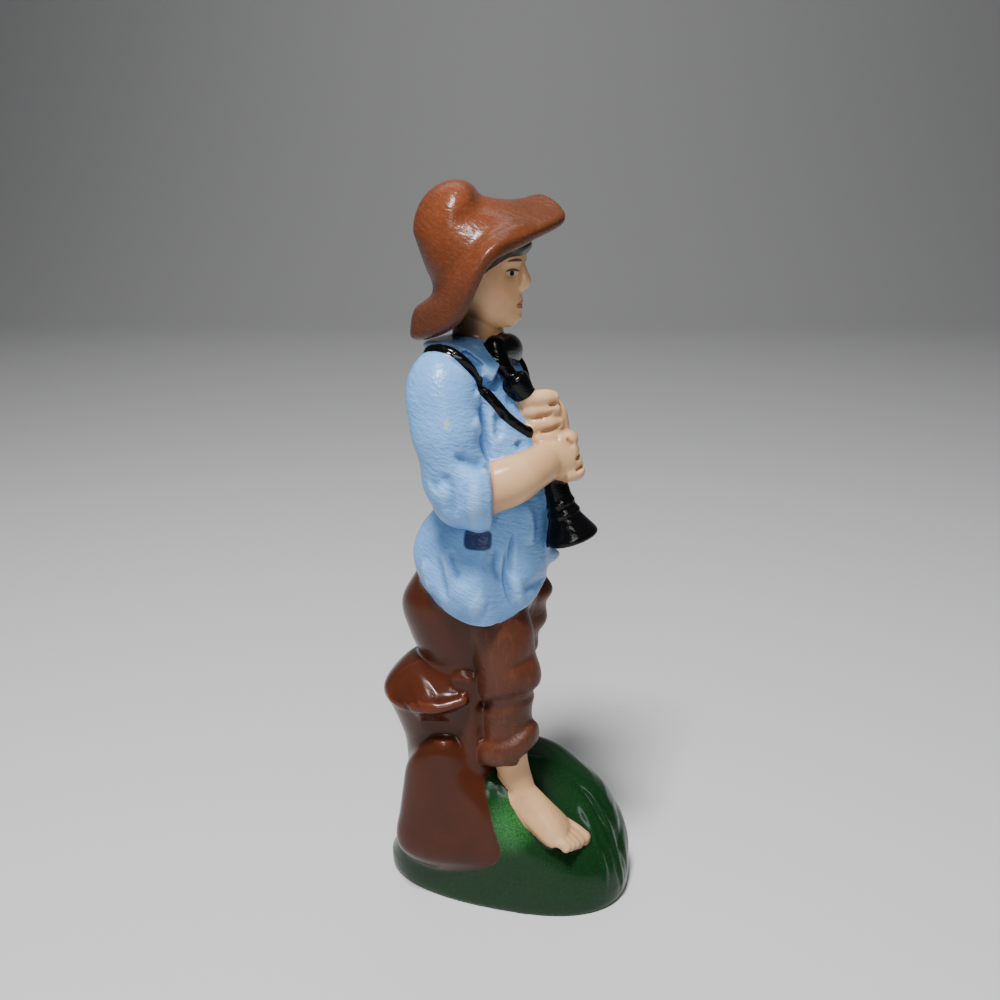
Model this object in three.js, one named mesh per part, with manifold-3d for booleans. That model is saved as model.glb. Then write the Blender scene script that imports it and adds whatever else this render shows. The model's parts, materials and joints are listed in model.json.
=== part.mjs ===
// A shepherd boy in a floppy hat plays a shawm, standing against a tree stump on a grassy mound.
// The figurine is one casting, so every form below is joined into one body.
// Units are millimetres, +Z is up. The boy faces -Y and his right side, the near one, is towards -X.

import * as THREE from "three";
import Module from "manifold-3d";

const wasm = await Module();
wasm.setup();

// Driving dimensions
const figureHeight = 180;
const baseLength = 65;
const baseWidth = 38;
const moundHeight = 35;
const brimThickness = 2.8;
const hemThickness = 1.8;
const strapWidth = 2.6;
const strapThickness = 1.7;
const fingerWidth = 3.7;
const toeWidth = 2.4;

// Numbers and points between named stops

// A smooth value through evenly spread stops, for t from 0 to 1.
function through(stops, t) {
  const last = stops.length - 1;
  const place = THREE.MathUtils.clamp(t, 0, 1) * last;
  const index = Math.min(Math.floor(place), last - 1);
  const part = place - index;
  const at = (k) => stops[THREE.MathUtils.clamp(k, 0, last)];
  const [a, b, c, d] = [at(index - 1), at(index), at(index + 1), at(index + 2)];
  const bend = (2 * a - 5 * b + 4 * c - d) + (3 * b - a - 3 * c + d) * part;
  return b + 0.5 * part * (c - a + part * bend);
}

// The same through a closed round of stops, with t as the share of the round.
function around(stops, t) {
  const count = stops.length;
  const place = (((t % 1) + 1) % 1) * count;
  const index = Math.floor(place);
  const at = (k) => stops[(k + count) % count];
  return through([at(index - 1), at(index), at(index + 1), at(index + 2)], (1 + place - index) / 3);
}

function between(rows, t, pick = through) {
  const row = {};
  for (const key of Object.keys(rows[0])) {
    row[key] = pick(rows.map((entry) => entry[key]), t);
  }
  return row;
}

function hump(value, centre, reach) {
  const share = Math.min(1, Math.abs(value - centre) / reach);
  return (1 - share * share) ** 2;
}

// The shorter way between two shares of a round.
function apart(share, other) {
  const gap = (((share - other) % 1) + 1) % 1;
  return gap > 0.5 ? gap - 1 : gap;
}

function rounded(value, power) {
  return Math.sign(value) * Math.abs(value) ** (2 / power);
}

// Closed bodies

function solid(positions, faces) {
  return new wasm.Manifold(new wasm.Mesh({
    numProp: 3,
    vertProperties: new Float32Array(positions.flatMap(({ x, y, z }) => [x, y, z])),
    triVerts: new Uint32Array(faces.flat()),
  }));
}

// A body through a row of rings with as many points each. Each end is closed to the middle of its ring.
function loft(rings) {
  const sides = rings[0].length;
  const positions = rings.flat();
  const faces = [];
  for (let ring = 0; ring + 1 < rings.length; ring++) {
    for (let side = 0; side < sides; side++) {
      const next = (side + 1) % sides;
      const [a, b] = [ring * sides + side, ring * sides + next];
      const [c, d] = [a + sides, b + sides];
      faces.push([a, b, d], [a, d, c]);
    }
  }
  for (const [ring, turned] of [[0, true], [rings.length - 1, false]]) {
    const middle = new THREE.Vector3();
    rings[ring].forEach((point) => middle.addScaledVector(point, 1 / sides));
    positions.push(middle);
    for (let side = 0; side < sides; side++) {
      const [a, b] = [ring * sides + side, ring * sides + (side + 1) % sides];
      faces.push(turned ? [positions.length - 1, b, a] : [positions.length - 1, a, b]);
    }
  }
  if (enclosed(positions, faces) < 0) {
    faces.forEach((face) => face.reverse());
  }
  return solid(positions, faces);
}

function enclosed(positions, faces) {
  return faces.reduce((sum, [a, b, c]) => {
    return sum + positions[a].dot(positions[b].clone().cross(positions[c])) / 6;
  }, 0);
}

// One point of an upright form: share 0 is its front, 0.25 its near side, 0.5 its back and 0.75 its far side.
function uprightPoint(row, share, shape) {
  const angle = share * 2 * Math.PI;
  const power = row.power ?? 2;
  const [across, along] = [(row.far - row.near) / 2, (row.back - row.front) / 2];
  const x = (row.far + row.near) / 2 - across * rounded(Math.sin(angle), power);
  const y = (row.back + row.front) / 2 - along * rounded(Math.cos(angle), power);
  const { out = 0, up = 0 } = shape ? shape(row.z, share) : {};
  return new THREE.Vector3(x - out * Math.sin(angle), y - out * Math.cos(angle), row.z + up);
}

function upright(rows, sides, steps, shape) {
  const rings = [];
  for (let step = 0; step <= steps; step++) {
    const row = between(rows, step / steps);
    rings.push(Array.from({ length: sides }, (_, side) => uprightPoint(row, side / sides, shape)));
  }
  return loft(rings);
}

// A form along a path, with domes for ends. Each row holds a centre, half the width and half the height.
function limb(rows, sides, steps, { domes = [1, 1], shape, across } = {}) {
  const dome = sides > 8 ? [[0.8, 0.6], [0.42, 0.9]] : [[0.6, 0.75]];
  const spots = Array.from({ length: steps + 1 }, (_, step) => between(rows, step / steps));
  const centres = spots.map((row) => new THREE.Vector3(row.x, row.y, row.z));
  const rings = [];
  spots.forEach((row, index) => {
    const [before, after] = [centres[Math.max(index - 1, 0)], centres[Math.min(index + 1, steps)]];
    const ahead = after.clone().sub(before).normalize();
    const level = new THREE.Vector3().crossVectors(ahead, new THREE.Vector3(0, 0, 1));
    const side = (Array.isArray(across) ? across[index] : across ?? level).clone();
    side.addScaledVector(ahead, -side.dot(ahead)).normalize();
    const top = new THREE.Vector3().crossVectors(side, ahead);
    const ring = (shrink, push) => Array.from({ length: sides }, (_, count) => {
      const angle = count / sides * 2 * Math.PI;
      const out = shape ? shape(index / steps, count / sides) : 0;
      return centres[index].clone()
        .addScaledVector(ahead, push)
        .addScaledVector(side, Math.cos(angle) * (row.wide + out) * shrink)
        .addScaledVector(top, Math.sin(angle) * (row.high + out) * shrink);
    });
    const reach = Math.min(row.wide, row.high);
    if (index === 0 && domes[0]) {
      rings.push(...dome.map(([shrink, push]) => ring(shrink, -reach * domes[0] * push)).reverse());
    }
    rings.push(ring(1, 0));
    if (index === steps && domes[1]) {
      rings.push(...dome.map(([shrink, push]) => ring(shrink, reach * domes[1] * push)));
    }
  });
  return loft(rings);
}

// Where a line from outside towards a point first meets a body, lifted off it by a height
function landing(body, outside, target, lift) {
  const way = target.clone().sub(outside).normalize();
  const hit = new THREE.Raycaster(outside, way).intersectObject(body)[0];
  return hit.point.clone().addScaledVector(hit.face.normal, lift);
}

function surface(body) {
  const { vertProperties, triVerts } = body.getMesh();
  const geometry = new THREE.BufferGeometry();
  geometry.setAttribute("position", new THREE.Float32BufferAttribute(vertProperties, 3));
  geometry.setIndex(new THREE.BufferAttribute(triVerts, 1));
  geometry.computeVertexNormals();
  return geometry;
}

// The mound

const moundRidge = [9, 20, 31, moundHeight, moundHeight, 34.4, 32.6, 28.8, 26, 21];
const wallFoot = 3;
const lowestEdge = 4.8;
const ledgeDrop = 10.4;

function moundOutline(share) {
  const angle = share * 2 * Math.PI;
  const along = rounded(Math.cos(angle), 2.4);
  const taper = 1 + 0.13 * along;
  return { x: -baseWidth / 2 * rounded(Math.sin(angle), 2.4) * taper, y: -baseLength / 2 * along };
}

function mound() {
  const rims = [[0.96, 0], [0.992, 1.6], [1, 4.5]];
  const slope = [0.98, 0.92, 0.8, 0.6, 0.3];
  const sides = 22;
  const ring = (reach, level) => Array.from({ length: sides }, (_, side) => {
    const { x, y } = moundOutline(side / sides);
    const crest = through(moundRidge, 0.5 - y * reach / baseLength);
    // The near foot stands on a lower ledge at the near side of the front.
    const nearSide = THREE.MathUtils.smoothstep(-x * reach, -2.5, 8.5);
    const ledge = ledgeDrop * nearSide * THREE.MathUtils.smoothstep(-y * reach, 1, 9);
    const rise = (crest - ledge - wallFoot) * Math.sqrt(1 - reach ** 8);
    const height = level ?? Math.max(lowestEdge, wallFoot + rise);
    return new THREE.Vector3(x * reach, y * reach, height);
  });
  return loft([...rims.map(([reach, level]) => ring(reach, level)), ...slope.map((reach) => ring(reach))]);
}

// The stump: a trunk sawn on a slant, so that its flat cut face leans to the near side and the back

const sawnFacing = new THREE.Vector3(-0.78, 0.12, 0.61).normalize();
const sawnReach = 49.3;

function stump() {
  const rows = [
    { z: 5, front: -2, back: 29, near: -11, far: 12, power: 2.4 },
    { z: 14, front: 0, back: 28.6, near: -12, far: 12.4, power: 2.4 },
    { z: 28, front: 4, back: 27, near: -12.5, far: 11, power: 2.4 },
    { z: 39, front: 5.5, back: 27.2, near: -12.6, far: 10, power: 2.4 },
    { z: 46, front: 6, back: 28.8, near: -14.2, far: 10.5, power: 2.5 },
    { z: 51.5, front: 6.2, back: 30.4, near: -16.2, far: 11, power: 2.6 },
    { z: 54.8, front: 6.2, back: 31.8, near: -17.4, far: 11, power: 2.6 },
    { z: 57.4, front: 6.4, back: 31, near: -16.6, far: 10.5, power: 2.5 },
    { z: 61, front: 7, back: 27.6, near: -14.8, far: 9.5, power: 2.4 },
    { z: 62.8, front: 8, back: 24, near: -12.4, far: 8, power: 2.3 },
    { z: 64, front: 9, back: 18, near: -7, far: 6, power: 2.2 },
  ];
  return upright(rows, 14, 10).trimByPlane(sawnFacing.clone().negate().toArray(), -sawnReach);
}

// The sawn edge: a lip under the near side of the cut face
function sawnLip() {
  const rows = [
    { x: -13.6, y: 23.6, z: 54, wide: 1.2, high: 1 },
    { x: -16.8, y: 19.6, z: 54.6, wide: 1.5, high: 1.1 },
    { x: -17.7, y: 14, z: 55.5, wide: 1.5, high: 1.1 },
    { x: -16, y: 8.6, z: 56.8, wide: 1.3, high: 1 },
  ];
  return limb(rows, 5, 4);
}

function barkKnob() {
  const rows = [
    { x: -5.4, y: 12.8, z: 61, wide: 5.4, high: 4.6 },
    { x: -11.4, y: 9.8, z: 61.6, wide: 4, high: 3.8 },
  ];
  return limb(rows, 7, 1);
}

// The root flares and squares out over the wall of the mound, and tapers to a blunt top.
function root() {
  const rows = [
    { z: 9, front: -1, back: 25, near: -17.2, far: -2, power: 2.6 },
    { z: 12.4, front: -6.2, back: 27.4, near: -19.2, far: -2, power: 2.8 },
    { z: 16.5, front: -7, back: 27.8, near: -19.7, far: -2, power: 2.8 },
    { z: 22, front: -5, back: 26.8, near: -19.2, far: -3, power: 2.6 },
    { z: 29, front: -1.2, back: 25.8, near: -18.6, far: -4, power: 2.4 },
    { z: 36, front: 3.8, back: 24.4, near: -18.1, far: -6, power: 2.2 },
    { z: 41.4, front: 7.4, back: 20.8, near: -17.7, far: -9, power: 2 },
    { z: 45, front: 11, back: 16.6, near: -16.4, far: -12, power: 2 },
  ];
  return upright(rows, 12, 7);
}

function barkStrip() {
  const rows = [
    { z: 28, front: 0, back: 12, near: -15, far: -3 },
    { z: 45, front: 2.6, back: 12, near: -14.4, far: -4 },
    { z: 62, front: 4, back: 12, near: -14.6, far: -4 },
  ];
  return upright(rows, 6, 2);
}

// Trousers

function seat() {
  const rows = [
    { z: 55, front: 4, back: 21, near: -8, far: 12 },
    { z: 63, front: 0, back: 22.6, near: -11, far: 14 },
    { z: 70, front: -3, back: 26.2, near: -14.6, far: 15 },
    { z: 77, front: -6, back: 28, near: -15.8, far: 15.8 },
    { z: 84, front: -7, back: 24.6, near: -15.8, far: 15.8 },
    { z: 96, front: -6, back: 17, near: -14, far: 14 },
  ];
  return upright(rows, 12, 5);
}

// A deep crease runs round the near leg below the knee and rises to the front.
function kneeCrease(z, share) {
  const level = 56 + 2.4 * Math.cos(share * 2 * Math.PI);
  const crease = -1.1 * hump(z, level, 2.2);
  const knee = 0.8 * hump(z, 62.5, 6) * hump(apart(share, 0), 0, 0.3);
  return { out: crease + knee };
}

function nearLeg() {
  const rows = [
    { z: 39.5, front: -6.6, back: 3.6, near: -15.6, far: -5 },
    { z: 45, front: -7.2, back: 4, near: -15.8, far: -4.4 },
    { z: 50, front: -7.6, back: 4.6, near: -16, far: -4 },
    { z: 54, front: -7.8, back: 5, near: -16.6, far: -3.6 },
    { z: 58, front: -8.8, back: 5.8, near: -17.4, far: -3 },
    { z: 62, front: -9.2, back: 6.2, near: -17.6, far: -2.4 },
    { z: 67, front: -8.4, back: 6.8, near: -17.8, far: -1.6 },
    { z: 74, front: -8.2, back: 8.6, near: -18.2, far: -0.6 },
    { z: 81, front: -6.4, back: 10.6, near: -17.4, far: 0 },
    { z: 88, front: -4, back: 10, near: -15, far: 0 },
  ];
  return upright(rows, 12, 12, kneeCrease);
}

function farLeg() {
  const rows = [
    { z: 38, front: 3.4, back: 14, near: 5, far: 16 },
    { z: 46, front: 2, back: 14, near: 4.6, far: 16.6 },
    { z: 54, front: -1.4, back: 13, near: 3.6, far: 17 },
    { z: 62, front: -5.4, back: 11, near: 2, far: 16.6 },
    { z: 69, front: -7.4, back: 9.6, near: 0.8, far: 16.6 },
    { z: 75, front: -8.6, back: 9, near: 0, far: 16.6 },
    { z: 80, front: -8.8, back: 10, near: 0, far: 16.2 },
    { z: 88, front: -4, back: 10, near: 0, far: 15 },
  ];
  const pleats = (z, share) => ({ out: 0.7 * Math.cos(z * 0.72) * hump(apart(share, 0.04), 0, 0.2) });
  return upright(rows, 10, 7, pleats);
}

// The turned-up end of a trouser leg, higher at the front
function turnUp(centre, reach, rise) {
  const sides = 11;
  const section = [[-1.6, -2.4], [0.9, -3.1], [1.9, -1.9], [1.8, 1.9], [0.9, 2.9], [-1.6, 2.4]];
  const rings = section.map(([out, up]) => Array.from({ length: sides }, (_, side) => {
    const angle = side / sides * 2 * Math.PI;
    const [x, y] = [-Math.sin(angle), -Math.cos(angle)];
    const level = centre.z + up - rise * y + 0.5 * Math.sin(3 * angle + 0.6);
    return new THREE.Vector3(centre.x + x * (reach.x + out), centre.y + y * (reach.y + out), level);
  }));
  return loft(rings);
}

// Bare feet

function shin(ankle, top) {
  const row = (z, front, back, half) => ({
    z, front: ankle.y - front, back: ankle.y + back, near: ankle.x - half, far: ankle.x + half,
  });
  const rows = [row(ankle.z - 3, 5.8, 2.6, 3.4), row(ankle.z + 2, 4.4, 4.4, 3.4), row(top, 3.4, 5.6, 4)];
  return upright(rows, 8, 2);
}

// A foot from its heel to the roots of the toes. The toes stand in a slanting row, the big one on the
// inner side and furthest ahead.
function foot(heel, ball, inner) {
  const [from, to] = [new THREE.Vector3(...heel), new THREE.Vector3(...ball)];
  const sections = [[0, 3.6, 4.6], [0.3, 3.9, 4.8], [0.6, 4.6, 4.2], [0.85, 5.4, 3.3], [1, 5.4, 2.6]];
  const rows = sections.map(([share, wide, high]) => ({ ...from.clone().lerp(to, share), wide, high }));
  // The lower corners stand out, so that the foot stands flat on its sole.
  const sole = (t, share) => 1.6 * (hump(share, 0.625, 0.13) + hump(share, 0.875, 0.13));
  const parts = [limb(rows, 9, 4, { domes: [1, 0.6], shape: sole })];
  const heading = to.clone().sub(from).normalize();
  const drop = heading.z * 0.7;
  for (let toe = 0; toe < 5; toe++) {
    const size = toeWidth * [1.3, 1, 0.96, 0.92, 0.88][toe] / 2;
    const reach = [7.2, 6.3, 5.2, 4, 2.8][toe];
    const aside = inner * [4, 1.5, -0.6, -2.5, -4.2][toe];
    const start = to.clone().add(new THREE.Vector3(aside, 0, -0.3));
    const tip = start.clone().add(new THREE.Vector3(heading.x * reach, heading.y * reach, drop * reach));
    const middle = start.clone().lerp(tip, 0.6).add(new THREE.Vector3(0, 0, 0.3));
    parts.push(limb([
      { ...start, wide: size, high: size },
      { ...middle, wide: size, high: size },
      { ...tip, wide: size * 1.08, high: size },
    ], 5, 1, { domes: [0, 0.8] }));
  }
  return parts;
}

// The smock

const smockRows = [
  { z: 79.5, front: -8.8, back: 20.6, near: -19.8, far: 16.8, power: 2.2 },
  { z: 83, front: -9.2, back: 22, near: -20.6, far: 17.4, power: 2.2 },
  { z: 88, front: -9.4, back: 22.2, near: -20.6, far: 17.6, power: 2.2 },
  { z: 94, front: -9.2, back: 20.8, near: -19.8, far: 17.6, power: 2.2 },
  { z: 100, front: -9.4, back: 18.6, near: -18.2, far: 17.6, power: 2.2 },
  { z: 106, front: -9.6, back: 17.8, near: -17, far: 17, power: 2.2 },
  { z: 113, front: -9, back: 17.8, near: -16.4, far: 16.4, power: 2.2 },
  { z: 120, front: -7.8, back: 18.4, near: -16.6, far: 16.6, power: 2.2 },
  { z: 127, front: -4.8, back: 19.4, near: -16.8, far: 16.8, power: 2.2 },
  { z: 134, front: -0.6, back: 20.4, near: -16.4, far: 16.4, power: 2.1 },
  { z: 138.6, front: 2.4, back: 20.6, near: -15.4, far: 15.4, power: 2 },
  { z: 141.2, front: 4, back: 18.4, near: -12, far: 12, power: 2 },
  { z: 142.8, front: 5, back: 14.6, near: -6, far: 6, power: 2 },
];

// How far the hem hangs below or above its lowest row, in eight stops from the front round the near side
const hemRise = [4, 0.2, -1.4, 3.4, 9, 3.4, -0.6, 1];

// The hem dips at both sides and rises to the back, and the cloth hangs in soft folds.
function smockFolds(z, share) {
  const angle = share * 2 * Math.PI;
  const loose = 1 - THREE.MathUtils.smoothstep(z, 84, 108);
  const hem = around(hemRise, share);
  const folds = 0.85 * Math.cos(5 * angle - 1.1) + 0.35 * Math.cos(9 * angle + 0.5);
  const chest = 0.5 * Math.cos(3 * angle + z * 0.25) * hump(z, 118, 16);
  const farFold = 3.4 * hump(z, 93.5, 5) * hump(apart(share, 0.93), 0, 0.07);
  // The far shoulder is drawn forward with its arm.
  const farChest = 3.6 * hump(z, 137, 9) * hump(apart(share, 0.885), 0, 0.13);
  return { out: folds * loose + chest + farFold + farChest, up: hem * loose };
}

function smock() {
  const sides = 20;
  const steps = 12;
  const ringAt = (row, inset, lift) => Array.from({ length: sides }, (_, side) => {
    const thinner = { ...row, near: row.near + inset, far: row.far - inset };
    thinner.front += inset;
    thinner.back -= inset;
    const point = uprightPoint(thinner, side / sides, smockFolds);
    point.z += lift;
    return point;
  });
  const bottom = between(smockRows, 0);
  const turnedUnder = [[hemThickness + 2, 3.4], [hemThickness, 0.4], [0.5, -0.4]];
  const rings = turnedUnder.map(([inset, lift]) => ringAt(bottom, inset, lift));
  for (let step = 0; step <= steps; step++) {
    rings.push(ringAt(between(smockRows, step / steps), 0, 0));
  }
  return loft(rings);
}

// Sleeves, arms and hands

function sleeve(side) {
  const across = new THREE.Vector3(1, 0, 0);
  const folds = (t, share) => {
    const wave = Math.cos(15 * t + 1.5 * Math.cos(share * 2 * Math.PI));
    return 0.4 * wave * hump(t, 0.7, 0.4);
  };
  const upper = limb([
    { x: side * 11, y: 12, z: 137, wide: 7, high: 7.4 },
    { x: side * 16, y: 12.8, z: 134, wide: 7.6, high: 8.2 },
    { x: side * 18.8, y: 11.6, z: 127.5, wide: 7.4, high: 8 },
    { x: side * 20, y: 10.3, z: 121, wide: 7, high: 7.6 },
    { x: side * 20.6, y: 8.8, z: 115, wide: 6.9, high: 7.5 },
    { x: side * 20.4, y: 7.4, z: 110, wide: 6.9, high: 7 },
  ], 10, 7, { domes: [0, 1.1], shape: folds, across });
  const lower = limb([
    { x: side * 20.4, y: 8, z: 111, wide: 6.4, high: 5.8 },
    { x: side * 20, y: 5.4, z: 110, wide: 6.6, high: 6.8 },
    { x: side * 19.2, y: 3, z: 110.4, wide: 6.3, high: 6.9 },
  ], 10, 2, { domes: [0.9, 0], across });
  return upper.add(lower);
}

// The rolled end of a sleeve: a ring round the forearm
function sleeveRoll(centre, heading, wide, high) {
  const ahead = new THREE.Vector3(...heading).normalize();
  const side = new THREE.Vector3().crossVectors(ahead, new THREE.Vector3(0, 0, 1)).normalize();
  const top = new THREE.Vector3().crossVectors(side, ahead);
  const section = [[-3, -5], [-0.2, -5], [1.1, -3.4], [1.7, 0], [0.8, 1.8], [-2.6, 1.6]];
  const sides = 10;
  return loft(section.map(([out, push]) => Array.from({ length: sides }, (_, count) => {
    const angle = count / sides * 2 * Math.PI;
    return new THREE.Vector3(...centre)
      .addScaledVector(ahead, push + 0.3 * Math.sin(2 * angle + 1))
      .addScaledVector(side, Math.cos(angle) * (wide + out))
      .addScaledVector(top, Math.sin(angle) * (high + out));
  })));
}

function arms() {
  const nearArm = limb([
    { x: -18.8, y: 4.4, z: 110.4, wide: 5.2, high: 5.8 },
    { x: -15.6, y: -3.4, z: 112.8, wide: 5, high: 5.7 },
    { x: -11.6, y: -7.6, z: 114.8, wide: 4.4, high: 5 },
    { x: -7.6, y: -10.4, z: 116, wide: 3.6, high: 4.8 },
  ], 10, 3, { domes: [0, 0.6] });
  const farArm = limb([
    { x: 19, y: 3.6, z: 110.4, wide: 5, high: 5.6 },
    { x: 16, y: -3, z: 115, wide: 4.8, high: 5.2 },
    { x: 12, y: -6.4, z: 119.6, wide: 4.2, high: 4.5 },
    { x: 7.6, y: -8.6, z: 123.4, wide: 3.6, high: 4.3 },
    { x: 4.4, y: -9.4, z: 124.6, wide: 3.4, high: 4 },
  ], 10, 3, { domes: [0, 0.6] });
  return [nearArm, farArm];
}

// The lower hand comes from the near side: the back of the hand, and four short finger ends past the pipe.
function lowerHand() {
  const parts = [limb([
    { x: -8, y: -9.8, z: 116.2, wide: 3.2, high: 4.6 },
    { x: -5.4, y: -11.8, z: 116.6, wide: 3.4, high: 5 },
    { x: -3.6, y: -14, z: 116.2, wide: 3.4, high: 5.2 },
  ], 8, 2)];
  const tips = [
    { y: -16.2, z: 120.6 },
    { y: -16.5, z: 117.7 },
    { y: -17.3, z: 115 },
    { y: -18, z: 112.8 },
  ];
  for (const { y, z } of tips) {
    const size = fingerWidth / 2;
    parts.push(limb([
      { x: -5, y: y + 3.6, z: z - 0.2, wide: size, high: size },
      { x: -3.6, y: y + 1.6, z, wide: size, high: size },
      { x: -0.8, y: y + 1.2, z, wide: size * 0.95, high: size * 0.95 },
      { x: 1.8, y: y + 3, z: z - 0.4, wide: size * 0.9, high: size * 0.9 },
    ], 6, 3, { domes: [0, 1] }));
  }
  return parts;
}

// The upper hand comes from the far side, behind the pipe, and its fingers end on the near side.
function upperHand() {
  const parts = [limb([
    { x: 3, y: -8.2, z: 129.2, wide: 2.6, high: 3 },
    { x: -0.2, y: -8.8, z: 126.4, wide: 4.4, high: 5 },
    { x: -0.2, y: -9.8, z: 123, wide: 4.4, high: 4.8 },
  ], 8, 2, { across: new THREE.Vector3(1, 0, 0) })];
  const tips = [
    { y: -11.8, z: 130.6 },
    { y: -12.3, z: 127.8 },
    { y: -12.9, z: 124.6 },
    { y: -13.4, z: 121.4 },
  ];
  tips.forEach(({ y, z }, finger) => {
    const size = fingerWidth / 2 * [1.05, 1, 1.05, 1.05][finger];
    parts.push(limb([
      { x: -1.4, y: -3 - finger * 0.8, z: z - 0.6, wide: size, high: size },
      { x: -4.4, y: -5 - finger * 0.8, z: z - 0.3, wide: size, high: size },
      { x: -4.4, y: y + 3.4, z: z + 0.1, wide: size, high: size },
      { x: -3.2, y: y + 1.2, z, wide: size * 0.92, high: size * 0.92 },
    ], 6, 3, { domes: [0, 1] }));
  });
  return parts;
}

// The shawm: a bent mouth end, a straight ringed pipe and a flared bell

function shawm() {
  const axis = [
    { x: -6.6, y: 2.4, z: 143, wide: 2.4, high: 2.4 },
    { x: -7, y: 1.2, z: 140, wide: 2.2, high: 2.2 },
    { x: -6.8, y: -1.2, z: 136.4, wide: 1.7, high: 1.7 },
    { x: -6, y: -4.4, z: 132, wide: 1.9, high: 1.9 },
    { x: -3.6, y: -7.2, z: 124, wide: 2.5, high: 2.5 },
    { x: -2.5, y: -10, z: 115, wide: 2.8, high: 2.8 },
    { x: -2.3, y: -12.4, z: 107, wide: 3.1, high: 3.1 },
  ];
  return limb(axis, 8, 7, { domes: [1, 0], across: new THREE.Vector3(1, 0, 0) });
}

// The mouth end bends over under the chin to the far side.
function mouthEnd() {
  const rows = [
    { x: -6.6, y: 2, z: 142, wide: 2.4, high: 2.4 },
    { x: -1.6, y: 0.6, z: 143.4, wide: 2.8, high: 2.8 },
    { x: 3.2, y: 0.4, z: 142.4, wide: 3, high: 3 },
    { x: 6.2, y: 1, z: 139.6, wide: 2.8, high: 2.8 },
  ];
  return limb(rows, 6, 3, { across: new THREE.Vector3(0, 1, 0) });
}

// A turned form round an axis, given as steps along it and radii
function turnedForm(start, end, profile, sides) {
  const heading = end.clone().sub(start).normalize();
  const side = new THREE.Vector3(1, 0, 0).addScaledVector(heading, -heading.x).normalize();
  const top = new THREE.Vector3().crossVectors(side, heading);
  return loft(profile.map(([along, radius]) => Array.from({ length: sides }, (_, count) => {
    const angle = count / sides * 2 * Math.PI;
    return start.clone()
      .addScaledVector(heading, along)
      .addScaledVector(side, Math.cos(angle) * radius)
      .addScaledVector(top, Math.sin(angle) * radius);
  })));
}

function ferrule() {
  const profile = [[-0.4, 1.8], [0, 2.8], [0.8, 3.4], [2, 3.3], [4.8, 2.5], [5.6, 1.8]];
  return turnedForm(new THREE.Vector3(-6.8, -1.9, 135.6), new THREE.Vector3(-6, -5.6, 130.6), profile, 8);
}

function bell() {
  const profile = [
    [0, 3], [2, 3.2], [2.7, 3.6], [3.5, 3.3], [4.6, 3.6], [5.4, 4.1], [6.2, 3.8], [8, 4.7],
    [10, 5.8], [11.4, 6.5], [12.2, 6.5], [12.6, 5.9], [12.2, 4.8], [10.6, 4],
  ];
  return turnedForm(new THREE.Vector3(-2.3, -12.2, 107.6), new THREE.Vector3(-1.8, -16, 96), profile, 10);
}

// The strap over the near shoulder, round the neck and down the far side: a flat band lying on the cloth

const chestMiddle = new THREE.Vector3(0, 8, 128);

function strap(cloth) {
  const nearHalf = [
    [-8.4, -6.2, 122.7],
    [-12.3, -2.4, 126.6],
    [-14.4, 0.6, 131],
    [-16.6, 3.6, 135.6],
    [-17.6, 5.9, 139.4],
    [-17.6, 9.4, 142.4],
    [-16.6, 13, 143.4],
    [-14.4, 17.4, 142.6],
    [-8, 21.6, 141],
  ];
  const farHalf = [
    [4, 21.4, 141],
    [9, 17, 142],
    [10, 11, 143],
    [9.6, 5.4, 143],
    [10, 1.8, 140],
    [10.6, -1, 135],
    [9.8, -3.4, 130],
    [7.4, -5.8, 124],
  ];
  const farLift = 0.5;
  const spots = [...nearHalf, ...farHalf].map((stop) => {
    const outside = new THREE.Vector3(...stop).sub(chestMiddle).multiplyScalar(4).add(chestMiddle);
    return landing(cloth, outside, chestMiddle, stop[0] > 0 ? farLift : 0.2);
  });
  const rows = spots.map(({ x, y, z }) => {
    return { x, y, z, wide: strapWidth / 2, high: strapThickness / 2 + (x > 0 ? farLift : 0) };
  });
  const across = spots.map((spot, index) => {
    const ahead = spots[Math.min(index + 1, spots.length - 1)].clone().sub(spots[Math.max(index - 1, 0)]);
    return ahead.cross(spot.clone().sub(chestMiddle)).normalize();
  });
  return limb(rows, 4, spots.length - 1, { across });
}

// A flat collar on the shoulders, open at the chest, with a rounded point on each side of the opening.
// Each stop is a share of the round and how far out the edge reaches there.

const collarEdge = [
  [0, 6.4], [0.1, 6.6], [0.145, 7.4], [0.16, 11], [0.178, 12.8], [0.205, 13.2], [0.26, 13.4],
  [0.32, 13], [0.4, 12.6], [0.5, 12.4],
];
const collarInside = 6;

function collar(cloth) {
  const farEdge = collarEdge.slice(1, -1).map(([share, reach]) => [1 - share, reach]).reverse();
  const stops = [...collarEdge, ...farEdge];
  const ring = (inside, lift) => stops.map(([share, edge]) => {
    const angle = share * 2 * Math.PI;
    const reach = THREE.MathUtils.lerp(collarInside, edge, inside);
    const above = new THREE.Vector3(-Math.sin(angle) * reach, 8.6 - Math.cos(angle) * reach, 170);
    return landing(cloth, above, above.clone().setZ(0), lift);
  });
  return loft([ring(0, -4), ring(0.96, -3.4), ring(1, 0.6), ring(0.92, 2), ring(0, 1.6)]);
}

// Head

const headTurn = THREE.MathUtils.degToRad(-6);
const headAxis = { x: 0, y: 8 };

// A point given for a head that looks straight ahead, turned with it
function turned(point) {
  const [x, y] = [point.x - headAxis.x, point.y - headAxis.y];
  return new THREE.Vector3(
    headAxis.x + x * Math.cos(headTurn) - y * Math.sin(headTurn),
    headAxis.y + x * Math.sin(headTurn) + y * Math.cos(headTurn),
    point.z,
  );
}

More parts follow.
